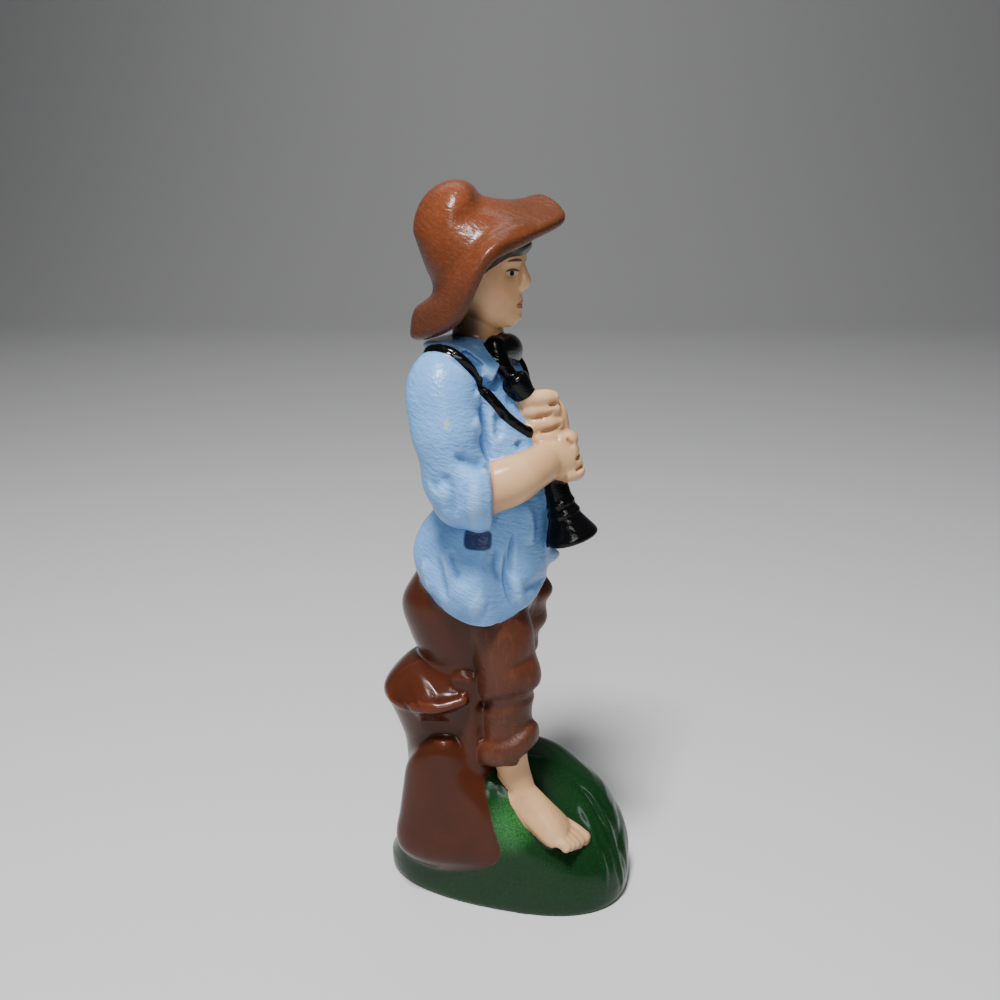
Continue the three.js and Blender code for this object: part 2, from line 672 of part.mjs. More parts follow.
function faceRelief(z, share) {
  const aside = Math.abs(apart(share, 0));
  const sockets = -1.1 * hump(z, 159.4, 2.2) * hump(aside, 0.075, 0.05);
  const brow = 0.35 * hump(z, 162.4, 1.8) * hump(aside, 0.06, 0.09);
  const cheeks = 0.4 * hump(z, 155, 3) * hump(aside, 0.11, 0.06);
  const upperLip = 0.45 * hump(z, 152.9, 0.9) * hump(aside, 0, 0.05);
  const lowerLip = 0.45 * hump(z, 151.2, 0.9) * hump(aside, 0, 0.045);
  const chin = 0.5 * hump(z, 148.9, 1.6) * hump(aside, 0, 0.06);
  return { out: sockets + brow + cheeks + upperLip + lowerLip + chin };
}

function head() {
  const rows = [
    { z: 146.8, front: -0.6, back: 5, near: -3.2, far: 3.2, power: 2 },
    { z: 148.6, front: -2.2, back: 10, near: -5.4, far: 5.4, power: 2 },
    { z: 151.4, front: -2.7, back: 14, near: -7.4, far: 7.4, power: 2 },
    { z: 154.2, front: -2.8, back: 17, near: -8.6, far: 8.6, power: 2 },
    { z: 157, front: -2.9, back: 16.6, near: -9.2, far: 9.2, power: 2 },
    { z: 160, front: -3, back: 16.6, near: -9.6, far: 9.6, power: 2 },
    { z: 163.2, front: -3.4, back: 16.6, near: -9.7, far: 9.7, power: 2 },
    { z: 166.4, front: -2.8, back: 16.6, near: -9.2, far: 9.2, power: 2 },
    { z: 169.6, front: -0.8, back: 16, near: -7.6, far: 7.6, power: 2 },
  ];
  const [sides, steps] = [16, 10];
  const rings = Array.from({ length: steps + 1 }, (_, step) => {
    const row = between(rows, step / steps);
    return Array.from({ length: sides }, (_, side) => {
      const share = side / sides;
      const pulled = share - 0.07 * Math.sin(share * 2 * Math.PI);
      return turned(uprightPoint(row, pulled, faceRelief));
    });
  });
  return loft(rings);
}

function nose() {
  const rows = [
    { x: 0, y: -1.6, z: 162, wide: 1.1, high: 1.4 },
    { x: 0, y: -2.6, z: 159.4, wide: 1.2, high: 1.4 },
    { x: 0, y: -3.3, z: 157.2, wide: 1.3, high: 1.2 },
    { x: 0, y: -2.7, z: 156.2, wide: 1.6, high: 1 },
  ].map((row) => ({ ...row, ...turned(row) }));
  return limb(rows, 6, 4, { across: new THREE.Vector3(Math.cos(headTurn), Math.sin(headTurn), 0) });
}

function neck() {
  const rows = [
    { z: 138, front: 2.4, back: 15, near: -6.4, far: 6.4 },
    { z: 143, front: 2, back: 14, near: -5.8, far: 5.8 },
    { z: 149, front: 2, back: 14.4, near: -5.8, far: 5.8 },
    { z: 153, front: 3, back: 15, near: -6, far: 6 },
  ];
  return upright(rows, 10, 2);
}

// Hair over the temples, behind the ears and under the front of the brim
function hair() {
  const rows = [
    { z: 148.5, front: 13, back: 15.8, near: -8, far: 8, power: 2.2 },
    { z: 153, front: 11, back: 16.4, near: -9.8, far: 9.8, power: 2.4 },
    { z: 157, front: 4.8, back: 16.6, near: -11, far: 11, power: 3 },
    { z: 160, front: 1.4, back: 16.6, near: -11.4, far: 11.4, power: 3.2 },
    { z: 163, front: -2.6, back: 17, near: -11.2, far: 11.2, power: 2.6 },
    { z: 166, front: -5.2, back: 17, near: -10.8, far: 10.8, power: 2.2 },
    { z: 171, front: -3, back: 16, near: -9, far: 9, power: 2 },
  ];
  const [sides, steps] = [12, 5];
  const lockCount = 10;
  const locks = (z, share) => ({ out: 0.3 * Math.cos(share * 2 * Math.PI * lockCount) });
  const rings = Array.from({ length: steps + 1 }, (_, step) => {
    const row = between(rows, step / steps);
    return Array.from({ length: sides }, (_, side) => turned(uprightPoint(row, side / sides, locks)));
  });
  return loft(rings);
}

// The floppy hat, given in eight stops round it: front, then the near side, the back and the far side

const rim = [
  { x: 4.5, y: -12.3, z: 173 },
  { x: -10.5, y: -7.2, z: 168.4 },
  { x: -21.4, y: 1.6, z: 163.6 },
  { x: -19.6, y: 9.6, z: 149 },
  { x: -8.5, y: 22.4, z: 144.2 },
  { x: 6, y: 20, z: 149 },
  { x: 17.5, y: 9, z: 161 },
  { x: 13.4, y: -2.6, z: 177 },
];
const band = [
  { x: 0.6, y: 3.2, z: 175.6 },
  { x: -10.2, y: 1.6, z: 171 },
  { x: -16.2, y: 5.8, z: 164 },
  { x: -14.2, y: 12.6, z: 156.8 },
  { x: -4.6, y: 17.4, z: 155 },
  { x: 5.6, y: 16.6, z: 157.4 },
  { x: 12, y: 9.6, z: 166 },
  { x: 9, y: 3.2, z: 174.6 },
];
const bulge = [
  { x: -1, y: 7.8, z: 176.8 },
  { x: -9.8, y: 6.8, z: 173.2 },
  { x: -14.4, y: 10.8, z: 169.4 },
  { x: -12.8, y: 17, z: 166.8 },
  { x: -5.6, y: 21.9, z: 168.6 },
  { x: 3, y: 20.8, z: 169 },
  { x: 8.8, y: 14.4, z: 171 },
  { x: 5.4, y: 9.2, z: 175.2 },
];
const crownTop = new THREE.Vector3(-3, 12, figureHeight + 0.1);

function hatPoint(share, down) {
  const [high, low, edge] = [bulge, band, rim].map((stops) => {
    const { x, y, z } = between(stops, share, around);
    return new THREE.Vector3(x, y, z);
  });
  if (down < 1) {
    const angle = down * Math.PI / 2;
    const point = crownTop.clone().lerp(high, Math.sin(angle));
    point.z = THREE.MathUtils.lerp(high.z, crownTop.z, Math.cos(angle));
    return point;
  }
  const lobe = new THREE.Vector3(0, 1.9, 1.2).multiplyScalar(hump(apart(share, 0.5), 0, 0.16));
  const stops = [high, high.clone().lerp(low, 0.55), low, low.clone().lerp(edge, 0.5).add(lobe), edge];
  const axis = (key) => through(stops.map((stop) => stop[key]), (down - 1) / 2);
  return new THREE.Vector3(axis("x"), axis("y"), axis("z"));
}

function hat() {
  const sides = 22;
  const downs = [0.14, 0.45, 0.75, 1.05, 1.5, 1.95, 2.4, 2.8];
  const nudge = 0.02;
  const outward = (share, down) => {
    const turn = hatPoint(share + nudge, down).sub(hatPoint(share - nudge, down));
    const fall = hatPoint(share, Math.min(down + nudge, 3)).sub(hatPoint(share, down - nudge));
    return turn.cross(fall).normalize();
  };
  const facing = Math.sign(outward(0.25, 1).dot(new THREE.Vector3(-1, 0, 0)));
  const ring = (down, depth) => Array.from({ length: sides }, (_, side) => {
    const share = side / sides;
    return hatPoint(share, down).addScaledVector(outward(share, down), -depth * facing);
  });
  const rings = downs.map((down) => ring(down, 0));
  rings.push(ring(3, brimThickness * 0.3), ring(3, brimThickness * 0.75), ring(2.85, brimThickness));
  rings.push(ring(2, brimThickness));
  rings.push(ring(2, brimThickness).map((point) => point.lerp(new THREE.Vector3(0, 9, 163), 0.5)));
  return loft(rings);
}

// The whole casting

const nearAnkle = { x: -11.2, y: -3, z: 35.5 };
const farAnkle = { x: 11, y: 10.4, z: 38 };
const torso = [smock(), sleeve(-1), sleeve(1)].reduce((whole, form) => whole.add(form));
const cloth = new THREE.Mesh(surface(torso));

const forms = [
  mound(), stump(), sawnLip(), barkKnob(), root(), barkStrip(),
  seat(), nearLeg(), farLeg(),
  turnUp(new THREE.Vector3(-10.4, -1.6, 43.6), { x: 5.6, y: 6 }, 3),
  turnUp(new THREE.Vector3(10.8, 8.4, 43.4), { x: 5.8, y: 5.8 }, 0.6),
  shin(nearAnkle, 43), shin(farAnkle, 43),
  ...foot([-11.6, -5, 31.2], [-12.2, -16, 20.9], 1),
  ...foot([11, 11.4, 38.2], [13, 3.2, 37], -1),
  torso, collar(cloth),
  sleeveRoll([-18.8, 2.8, 110.6], [0.22, -1, 0.1], 6.6, 7.3),
  sleeveRoll([18.8, 1.4, 110.8], [-0.22, -1, 0.2], 6.6, 7.3),
  ...arms(), ...lowerHand(), ...upperHand(), shawm(), mouthEnd(), ferrule(), bell(), strap(cloth),
  neck(), head(), nose(), hair(), hat(),
];
const casting = forms.reduce((whole, form) => whole.add(form));
const glazed = new THREE.MeshStandardMaterial({ color: 0x7a4630, roughness: 0.25, metalness: 0 });
const figurine = new THREE.Mesh(surface(casting), glazed);
figurine.name = "shepherd_boy_figurine";

const group = new THREE.Group();
group.add(figurine);

export default group;
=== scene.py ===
# The looks of a glossy, hand-painted casting: a shepherd boy in a floppy hat who plays a shawm, standing
# against a tree stump on a grassy mound. Forms are shaped in millimetres and brought to metres at the end.

import json
import math

import bmesh
import bpy
import numpy as np
from mathutils import Matrix, Vector
from mathutils.bvhtree import BVHTree

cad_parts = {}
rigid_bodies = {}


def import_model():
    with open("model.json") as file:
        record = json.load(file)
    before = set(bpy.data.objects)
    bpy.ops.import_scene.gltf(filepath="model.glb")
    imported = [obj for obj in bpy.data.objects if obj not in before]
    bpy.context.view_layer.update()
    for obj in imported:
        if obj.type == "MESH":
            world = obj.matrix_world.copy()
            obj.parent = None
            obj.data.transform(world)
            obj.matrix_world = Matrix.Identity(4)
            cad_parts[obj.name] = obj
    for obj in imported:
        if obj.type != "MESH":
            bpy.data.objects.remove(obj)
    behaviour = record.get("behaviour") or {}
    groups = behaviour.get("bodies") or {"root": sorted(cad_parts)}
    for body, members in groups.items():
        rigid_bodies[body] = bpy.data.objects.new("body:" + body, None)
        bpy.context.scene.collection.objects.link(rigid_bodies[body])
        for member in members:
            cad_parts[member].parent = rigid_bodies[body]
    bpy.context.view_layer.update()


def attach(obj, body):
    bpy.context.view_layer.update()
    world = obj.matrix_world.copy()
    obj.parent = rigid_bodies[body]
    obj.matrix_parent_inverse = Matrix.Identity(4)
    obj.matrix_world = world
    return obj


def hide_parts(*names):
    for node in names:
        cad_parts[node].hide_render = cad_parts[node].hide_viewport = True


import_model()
scene = bpy.context.scene
mm = 0.001

# Camera, floor and light


def placed(name, data):
    made = bpy.data.objects.new(name, data)
    scene.collection.objects.link(made)
    return made


def newPaint(name):
    paint = bpy.data.materials.new(name)
    paint.use_nodes = True
    return paint, paint.node_tree.nodes["Principled BSDF"]


view = {"azimuth": -78, "pitch": 15, "distance": 0.2404, "height": 0.1686, "aside": 0.0025, "lens": 36.1}


def makeCamera():
    turn = math.radians(view["azimuth"])
    back = Vector((math.sin(turn), -math.cos(turn), 0))
    right = Vector((math.cos(turn), math.sin(turn), 0))
    camera = placed("camera", bpy.data.cameras.new("camera"))
    camera.data.lens = view["lens"]
    camera.data.sensor_width = 36
    camera.data.clip_start = 0.01
    camera.location = back * view["distance"] - right * view["aside"] + Vector((0, 0, view["height"]))
    camera.rotation_euler = (math.radians(90 - view["pitch"]), 0, turn)
    scene.camera = camera
    return back, right


towardsCamera, towardsRight = makeCamera()

studio = {
    "floor": (0.60, 0.60, 0.60), "world": (0.80, 0.82, 0.86), "worldStrength": 0.1,
    "sweepRadius": 0.9, "sweepHeight": 2.2, "floorReach": 1.6, "floorHalf": 3, "bendSteps": 12,
}


def makeSweep():
    # A pale floor that rises behind the figurine in one soft bend
    sweep = bmesh.new()
    reach, radius, half = studio["floorReach"], studio["sweepRadius"], studio["floorHalf"]
    bmesh.ops.create_grid(sweep, x_segments=1, y_segments=1, size=half)
    edge = min(sweep.edges, key=lambda each: -sum(vert.co.y for vert in each.verts))
    for vert in sweep.verts:
        vert.co.y = reach if vert in edge.verts else -half
    bend = [edge]
    angles = np.linspace(0, np.pi / 2, studio["bendSteps"] + 1)[1:]
    profile = [(reach + radius * math.sin(angle), radius * (1 - math.cos(angle))) for angle in angles]
    for y, z in [*profile, (reach + radius, studio["sweepHeight"])]:
        made = bmesh.ops.extrude_edge_only(sweep, edges=bend)["geom"]
        bend = [part for part in made if isinstance(part, bmesh.types.BMEdge)]
        for vert in {vert for edge in bend for vert in edge.verts}:
            vert.co.yz = y, z
    bmesh.ops.rotate(sweep, verts=sweep.verts, cent=(0, 0, 0),
                     matrix=Matrix.Rotation(math.radians(view["azimuth"]), 3, "Z"))
    bmesh.ops.recalc_face_normals(sweep, faces=sweep.faces)
    mesh = bpy.data.meshes.new("floor")
    sweep.to_mesh(mesh)
    sweep.free()
    mesh.polygons.foreach_set("use_smooth", [True] * len(mesh.polygons))
    paint, shader = newPaint("paleFloor")
    shader.inputs["Base Color"].default_value = (*studio["floor"], 1)
    shader.inputs["Roughness"].default_value = 0.6
    mesh.materials.append(paint)
    placed("floor", mesh)


makeSweep()

# Each light: how far to the camera's side, to the right and up, its size and its power
lights = {
    "overhead": {"camera": 0.24, "right": -0.1, "up": 0.64, "size": 0.14, "power": 9.4},
    "softFront": {"camera": 0.56, "right": -0.04, "up": 0.3, "size": 0.2, "power": 1.1},
    "backdrop": {"camera": -1.0, "right": -0.1, "up": 1.3, "size": 1.2, "power": 7.0, "aim": (1.6, 0, 0.5)},
}


def makeLights():
    aim = Vector((0, 0, 0.09))
    for name, place in lights.items():
        lamp = bpy.data.lights.new(name, "AREA")
        lamp.size = place["size"]
        lamp.energy = place["power"]
        holder = placed(name, lamp)
        flat = towardsCamera * place["camera"] + towardsRight * place["right"]
        holder.location = aim + flat + Vector((0, 0, place["up"]))
        target = Vector(place.get("aim", aim))
        holder.rotation_euler = (target - holder.location).to_track_quat("-Z", "Y").to_euler()
    world = bpy.data.worlds.new("studio")
    world.use_nodes = True
    sky = world.node_tree.nodes["Background"]
    sky.inputs["Color"].default_value = (*studio["world"], 1)
    sky.inputs["Strength"].default_value = studio["worldStrength"]
    scene.world = world


makeLights()
print("camera, floor and light are set")

# Smooth numbers between named stops


def bendBetween(a, b, c, d, part):
    bend = (2 * a - 5 * b + 4 * c - d) + (3 * b - a - 3 * c + d) * part
    return b + 0.5 * part * (c - a + part * bend)


def through(stops, t):
    stops = np.asarray(stops, float)
    last = len(stops) - 1
    place = np.clip(t, 0, 1) * last
    index = np.minimum(place.astype(int), last - 1)
    part = place - index
    if stops.ndim > 1:
        part = part[..., None]
    return bendBetween(*[stops[np.clip(index + step, 0, last)] for step in (-1, 0, 1, 2)], part)


def around(stops, t):
    stops = np.asarray(stops, float)
    place = (np.asarray(t) % 1) * len(stops)
    index = place.astype(int)
    part = (place - index)[..., None]
    return bendBetween(*[stops[(index + step) % len(stops)] for step in (-1, 0, 1, 2)], part)


def hump(value, centre, reach):
    share = np.minimum(1, np.abs(value - centre) / reach)
    return (1 - share * share) ** 2


def apart(share, other):
    gap = (share - other) % 1
    return np.where(gap > 0.5, gap - 1, gap)


def roundHump(share, centre, reach):
    return hump(apart(share, centre), 0, reach)


def circled(share):
    return np.cos(share * 2 * np.pi), np.sin(share * 2 * np.pi)


def unit(vectors):
    return vectors / np.linalg.norm(vectors, axis=-1, keepdims=True)


def ringOf(level, rings):
    return np.rint(level * (rings - 1)).astype(int)


def rounded(value, power):
    return np.sign(value) * np.abs(value) ** (2 / power)


def easeIn(value, low, high):
    share = np.clip((value - low) / (high - low), 0, 1)
    return share * share * (3 - 2 * share)


def blendOf(a, b, share):
    return a + (b - a) * share


# Closed forms: a flat grid is wrapped round and its two ends are closed


def wrapped(place, sides, steps):
    form = bmesh.new()
    bmesh.ops.create_grid(form, x_segments=sides, y_segments=steps, size=0.5)
    flat = np.array([vert.co[:2] for vert in form.verts]) + 0.5
    for vert, spot in zip(form.verts, place(flat[:, 0], flat[:, 1])):
        vert.co = spot
    bmesh.ops.remove_doubles(form, verts=form.verts, dist=1e-4)
    bmesh.ops.holes_fill(form, edges=form.edges, sides=0)
    bmesh.ops.recalc_face_normals(form, faces=form.faces)
    return form


# Rows hold z, front, back, near, far and, if it isn't 2, how square the outline is
def uprightPlace(rows, share, level, shape=None):
    row = through(rows, level)
    z, front, back, near, far = (row[..., column] for column in range(5))
    power = row[..., 5] if row.shape[-1] > 5 else 2.0
    cosine, sine = circled(share)
    x = (far + near) / 2 - (far - near) / 2 * rounded(sine, power)
    y = (back + front) / 2 - (back - front) / 2 * rounded(cosine, power)
    out, up = shape(z, share) if shape else (0, 0)
    return np.stack([x - out * sine, y - out * cosine, z + up], -1)


def upright(rows, sides, steps, shape=None):
    return wrapped(lambda share, level: uprightPlace(rows, share, level, shape), sides, steps)


# Rows hold x, y, z, half the width and half the height, or x, y, z and a radius
def limb(rows, sides, steps, domes=(1, 1), shape=None, across=None):
    rows = np.asarray(rows, float)[:, [0, 1, 2, 3, -1]]
    curve = np.radians(np.linspace(6, 90, 7)[:-1])
    start, end = [curve if dome else curve[:0] for dome in domes]
    along = np.concatenate([start * 0, np.linspace(0, 1, steps + 1), end * 0 + 1])
    shrink = np.concatenate([np.sin(start), np.ones(steps + 1), np.sin(end)[::-1]])
    push = np.concatenate([-np.cos(start) * domes[0], np.zeros(steps + 1), np.cos(end)[::-1] * domes[1]])
    centre = through(rows[:, :3], along)
    wide, high = through(rows[:, 3:], along).T
    nudge = 0.5 / steps
    ahead = unit(through(rows[:, :3], along + nudge) - through(rows[:, :3], along - nudge))
    if across is None:
        side = np.cross(ahead, (0, 0, 1))
    elif np.ndim(across) > 1:
        side = through(across, along)
    else:
        side = np.tile(np.array(across, float), (len(ahead), 1))
    side = unit(side - ahead * (side * ahead).sum(1)[:, None])
    top = np.cross(side, ahead)
    centre = centre + ahead * (push * np.minimum(wide, high))[:, None]

    def place(share, level):
        ring = ringOf(level, len(along))
        out = shape(along[ring], share) if shape else 0
        cosine, sine = circled(share)
        spread = (cosine * (wide[ring] + out) * shrink[ring])[:, None]
        rise = (sine * (high[ring] + out) * shrink[ring])[:, None]
        return centre[ring] + side[ring] * spread + top[ring] * rise

    return wrapped(place, sides, len(along) - 1)


# A turned form, given as steps along its axis and radii
def turnedForm(start, end, profile, sides):
    start = np.array(start, float)
    heading = unit(end - start)
    side = unit(np.array([1, 0, 0]) - heading * heading[0])
    top = np.cross(side, heading)

    def place(share, level):
        along, radius = through(profile, level).T[..., None]
        cosine, sine = circled(share[:, None])
        return start + heading * along + side * cosine * radius + top * sine * radius

    return wrapped(place, sides, (len(profile) - 1) * 4)


def joinForms(forms):
    joined = bmesh.new()
    for form in forms:
        mesh = bpy.data.meshes.new("part")
        form.to_mesh(mesh)
        joined.from_mesh(mesh)
        bpy.data.meshes.remove(mesh)
    return joined


# The mound

mound = {
    "length": 65, "width": 38, "corner": 2.4, "flare": 0.13, "wallFoot": 3, "lowestEdge": 4.8, "ledge": 10.4,
    "ridge": [9, 20, 31, 35, 35, 34.4, 32.6, 28.8, 26, 21],
}


def moundForm():
    reaches = [0.96, 0.98, 0.992, 1, 1, 0.995, 0.985, 0.97, 0.95, 0.92, 0.86, 0.8, 0.7, 0.6, 0.45, 0.3, 0.12]
    levels = [0, 0, 0.7, 2, 4.5]

    def place(share, level):
        ring = ringOf(level, len(reaches))
        reach = np.array(reaches)[ring]
        along, aside = [rounded(each, mound["corner"]) for each in circled(share)]
        x = -mound["width"] / 2 * aside * (1 + mound["flare"] * along) * reach
        y = -mound["length"] / 2 * along * reach
        crest = through(mound["ridge"], 0.5 - y / mound["length"])
        ledge = mound["ledge"] * easeIn(-x, -2.5, 8.5) * easeIn(-y, 1, 9)  # the near foot stands lower
        rise = (crest - ledge - mound["wallFoot"]) * np.sqrt(1 - reach ** 8)
        height = np.maximum(mound["lowestEdge"], mound["wallFoot"] + rise)
        fixed = np.array(levels + [0] * (len(reaches) - len(levels)))[ring]
        return np.stack([x, y, np.where(ring < len(levels), fixed, height)], -1)

    return wrapped(place, 96, len(reaches) - 1)


# The stump and its root

stumpRows = [
    (5, -2, 29, -11, 12, 2.4), (14, 0, 28.6, -12, 12.4, 2.4), (28, 4, 27, -12.5, 11, 2.4),
    (39, 5.5, 27.2, -12.6, 10, 2.4), (46, 6, 28.8, -14.2, 10.5, 2.5), (51.5, 6.2, 30.4, -16.2, 11, 2.6),
    (54.8, 6.2, 31.8, -17.4, 11, 2.6), (57.4, 6.4, 31, -16.6, 10.5, 2.5), (61, 7, 27.6, -14.8, 9.5, 2.4),
    (62.8, 8, 24, -12.4, 8, 2.3), (64, 9, 18, -7, 6, 2.2),
]
sawn = {"facing": (-0.78, 0.12, 0.61), "reach": 49.3, "bevel": 1.6}
rootRows = [
    (9, -1, 25, -17.2, -2, 2.6), (12.4, -6.4, 27.4, -19.2, -2, 2.8), (16.5, -7.4, 27.8, -19.7, -2, 2.8),
    (22, -5.2, 26.8, -19.2, -3, 2.6), (29, -0.4, 25.8, -18.6, -4, 2.4), (36, 5.8, 24.4, -18.1, -6, 2.2),
    (41.4, 8.8, 20.8, -17.7, -9, 2), (45, 11.6, 16.6, -16.4, -12, 2),
]
barkStripRows = [(28, 1.4, 12, -15, -3), (45, 3.4, 12, -14.4, -4), (62, 4.4, 12, -14.6, -4)]
sawnLipRows = [
    (-13.4, 23.6, 53.8, 1.5, 1.3), (-16.6, 19.6, 54.2, 1.9, 1.5), (-17.4, 14, 55.1, 1.9, 1.5),
    (-15.6, 8.6, 56.4, 1.5, 1.3),
]
barkKnobRows = [(-5.4, 12.8, 61, 5.4, 4.6), (-10.8, 9.6, 61.2, 4, 3.8)]


def stumpForm():
    # The trunk is sawn on a slant, so that the flat cut face leans to the near side and the back
    form = upright(stumpRows, 96, 60)
    facing = Vector(sawn["facing"]).normalized()
    every = [*form.verts, *form.edges, *form.faces]
    cut = facing * sawn["reach"]
    bmesh.ops.bisect_plane(form, geom=every, plane_co=cut, plane_no=facing, clear_outer=True)
    rim = [edge for edge in form.edges if edge.is_boundary]
    bmesh.ops.holes_fill(form, edges=rim, sides=0)
    bmesh.ops.bevel(form, geom=rim, offset=sawn["bevel"], segments=4, profile=0.5, affect="EDGES",
                    material=-1)
    bmesh.ops.recalc_face_normals(form, faces=form.faces)
    return form


# Trousers

seatRows = [
    (55, 4, 21, -11, 12), (61, 0.6, 22.6, -12.6, 14), (66, -1.4, 24.6, -14, 14.6), (70, -3, 26.2, -15, 15),
    (77, -6, 28, -15.8, 15.8), (84, -7, 24.6, -15.8, 15.8), (96, -6, 17, -14, 14),
]
nearLegRows = [
    (39.5, -6.6, 3.6, -15.6, -5), (45, -7.2, 4, -15.8, -4.4), (50, -7.6, 4.6, -16, -4),
    (54, -7.8, 5, -16.6, -3.6), (58, -8.8, 5.8, -17.4, -3), (62, -9.2, 6.2, -17.6, -2.4),
    (67, -8.4, 6.8, -17.8, -1.6), (74, -7.6, 8.6, -17.6, -0.6), (81, -5, 10.6, -16, 0), (88, -3, 10, -14, 0),
]
farLegRows = [
    (38, 3.4, 14, 5, 16), (46, 2, 14, 4.6, 16.6), (54, -1.4, 13, 3.6, 17), (62, -5.4, 11, 2, 16.6),
    (69, -7.4, 9.6, 0.8, 16.6), (75, -8.6, 9, 0, 16.6), (80, -8.8, 10, 0, 16.2), (88, -4, 10, 0, 15),
]


def kneeCrease(z, share):
    knee = 0.8 * hump(z, 62.5, 6) * roundHump(share, 0, 0.3)
    return knee - 1.1 * hump(z, 56 + 2.4 * circled(share)[0], 2.2), 0


def farPleats(z, share):
    return 0.7 * np.cos(z * 0.72) * roundHump(share, 0.04, 0.2), 0


def turnUp(centre, reach, rise):
    section = [
        (-1.6, -2.4), (0.2, -3.1), (1.2, -2.9), (1.9, -1.9), (2.1, 0), (1.8, 1.9), (0.9, 2.9), (-0.4, 3),
        (-1.6, 2.4),
    ]

    def place(share, level):
        out, up = through(section, level).T
        cosine, sine = circled(share)
        x, y = centre[0] - sine * (reach[0] + out), centre[1] - cosine * (reach[1] + out)
        height = centre[2] + up + rise * cosine + 0.5 * np.sin(3 * share * 2 * np.pi + 0.6)
        return np.stack([x, y, height], -1)

    return wrapped(place, 48, 28)


# Bare feet


def shin(ankle, top):
    x, y, z = ankle
    rows = [
        (z - 3, y - 5.8, y + 2.6, x - 3.4, x + 3.4), (z + 2, y - 4.4, y + 4.4, x - 3.4, x + 3.4),
        (top, y - 3.4, y + 5.6, x - 4, x + 4),
    ]
    return upright(rows, 32, 12)


foot = {
    "sections": [(0, 3.4, 3.9), (0.3, 3.5, 3.7), (0.6, 4.5, 3.2), (0.85, 5.4, 2.7), (1, 5.4, 2.2)],
    "toeWidth": 2.9, "toeSizes": [1.3, 1, 0.96, 0.94, 0.92], "toeReaches": [7.2, 6.3, 5.2, 4, 2.8],
    "toeAside": [4, 1.4, -0.8, -2.8, -4.6],
}


def sole(t, share):
    return 1.6 * (hump(share, 0.625, 0.13) + hump(share, 0.875, 0.13))


def footForms(heel, ball, inner):
    heel, ball = np.array(heel, float), np.array(ball, float)
    rows = [(*blendOf(heel, ball, share), wide, high) for share, wide, high in foot["sections"]]
    forms = [limb(rows, 48, 24, (1, 0.6), sole)]
    heading = unit(ball - heel)
    heading[2] *= 0.7
    for toe in range(5):
        size = foot["toeWidth"] * foot["toeSizes"][toe] / 2
        start = ball + (inner * foot["toeAside"][toe], 0, -0.3)
        tip = start + heading * foot["toeReaches"][toe]
        middle = blendOf(start, tip, 0.6) + (0, 0, 0.3)
        rows = [(*start, size, size), (*middle, size * 0.94, size), (*tip, size * 1.08, size)]
        forms.append(limb(rows, 24, 10, (0, 0.8)))
    return forms


# The smock and its sleeves

smockRows = [
    (79.5, -8.8, 20.6, -19.8, 16.8, 2.2), (83, -9.2, 22, -20.6, 17.4, 2.2),
    (88, -9.4, 22.2, -20.6, 17.6, 2.2), (94, -9.2, 20.8, -19.8, 17.6, 2.2),
    (100, -9.4, 18.6, -18.2, 17.6, 2.2), (106, -9.6, 17.8, -17, 17, 2.2),
    (113, -9, 17.8, -16.4, 16.4, 2.2), (120, -7.8, 18.4, -16.6, 16.6, 2.2),
    (127, -4.8, 19.4, -16.8, 16.8, 2.2), (134, -0.6, 20.4, -16.4, 16.4, 2.1),
    (138.6, 2.4, 20.6, -15.4, 15.4, 2), (141.2, 4, 18.4, -12, 12, 2), (142.8, 5, 14.6, -6, 6, 2),
]
smock = {
    "hemThickness": 1.8, "hemLift": 3.4, "middle": (-1.5, 6.6),
    "hemRise": [5.4, 2.6, 0.6, -0.9, -0.6, 1, 3.4, 6.6, 9, 6.6, 3.4, 1, -0.6, -0.4, 1, 3.6],
}


def smockFolds(z, share):
    angle = share * 2 * np.pi
    loose = 1 - easeIn(z, 84, 108)
    hem = around([(rise,) for rise in smock["hemRise"]], share)[..., 0]
    folds = 0.85 * np.cos(5 * angle - 1.1) + 0.35 * np.cos(9 * angle + 0.5)
    chest = 0.5 * np.cos(3 * angle + z * 0.25) * hump(z, 118, 16)
    farFold = 5 * hump(z, 84.8, 4.4) * roundHump(share, 0.93, 0.07)
    farChest = 3.6 * hump(z, 137, 9) * roundHump(share, 0.885, 0.13)  # the shoulder comes forward
    return folds * loose + chest + farFold + farChest, hem * loose


def smockForm():
    # The cloth is turned under at the hem, so the lowest rings run back inside it
    inset = smock["hemThickness"]
    under = np.array([(inset + 2, smock["hemLift"]), (inset, 0.4), (0.9, -0.3), (0.3, -0.3)])
    steps = 64

    def place(share, level):
        ring = ringOf(level, steps + len(under) + 1)
        above = np.maximum(ring - len(under), 0) / steps
        spots = uprightPlace(smockRows, share, above, smockFolds)
        rim = under[np.minimum(ring, len(under) - 1)]
        rim = np.where((ring < len(under))[:, None], rim, 0)
        spots[:, :2] -= unit(spots[:, :2] - smock["middle"]) * rim[:, :1]
        spots[:, 2] += rim[:, 1]
        return spots

    return wrapped(place, 110, steps + len(under))


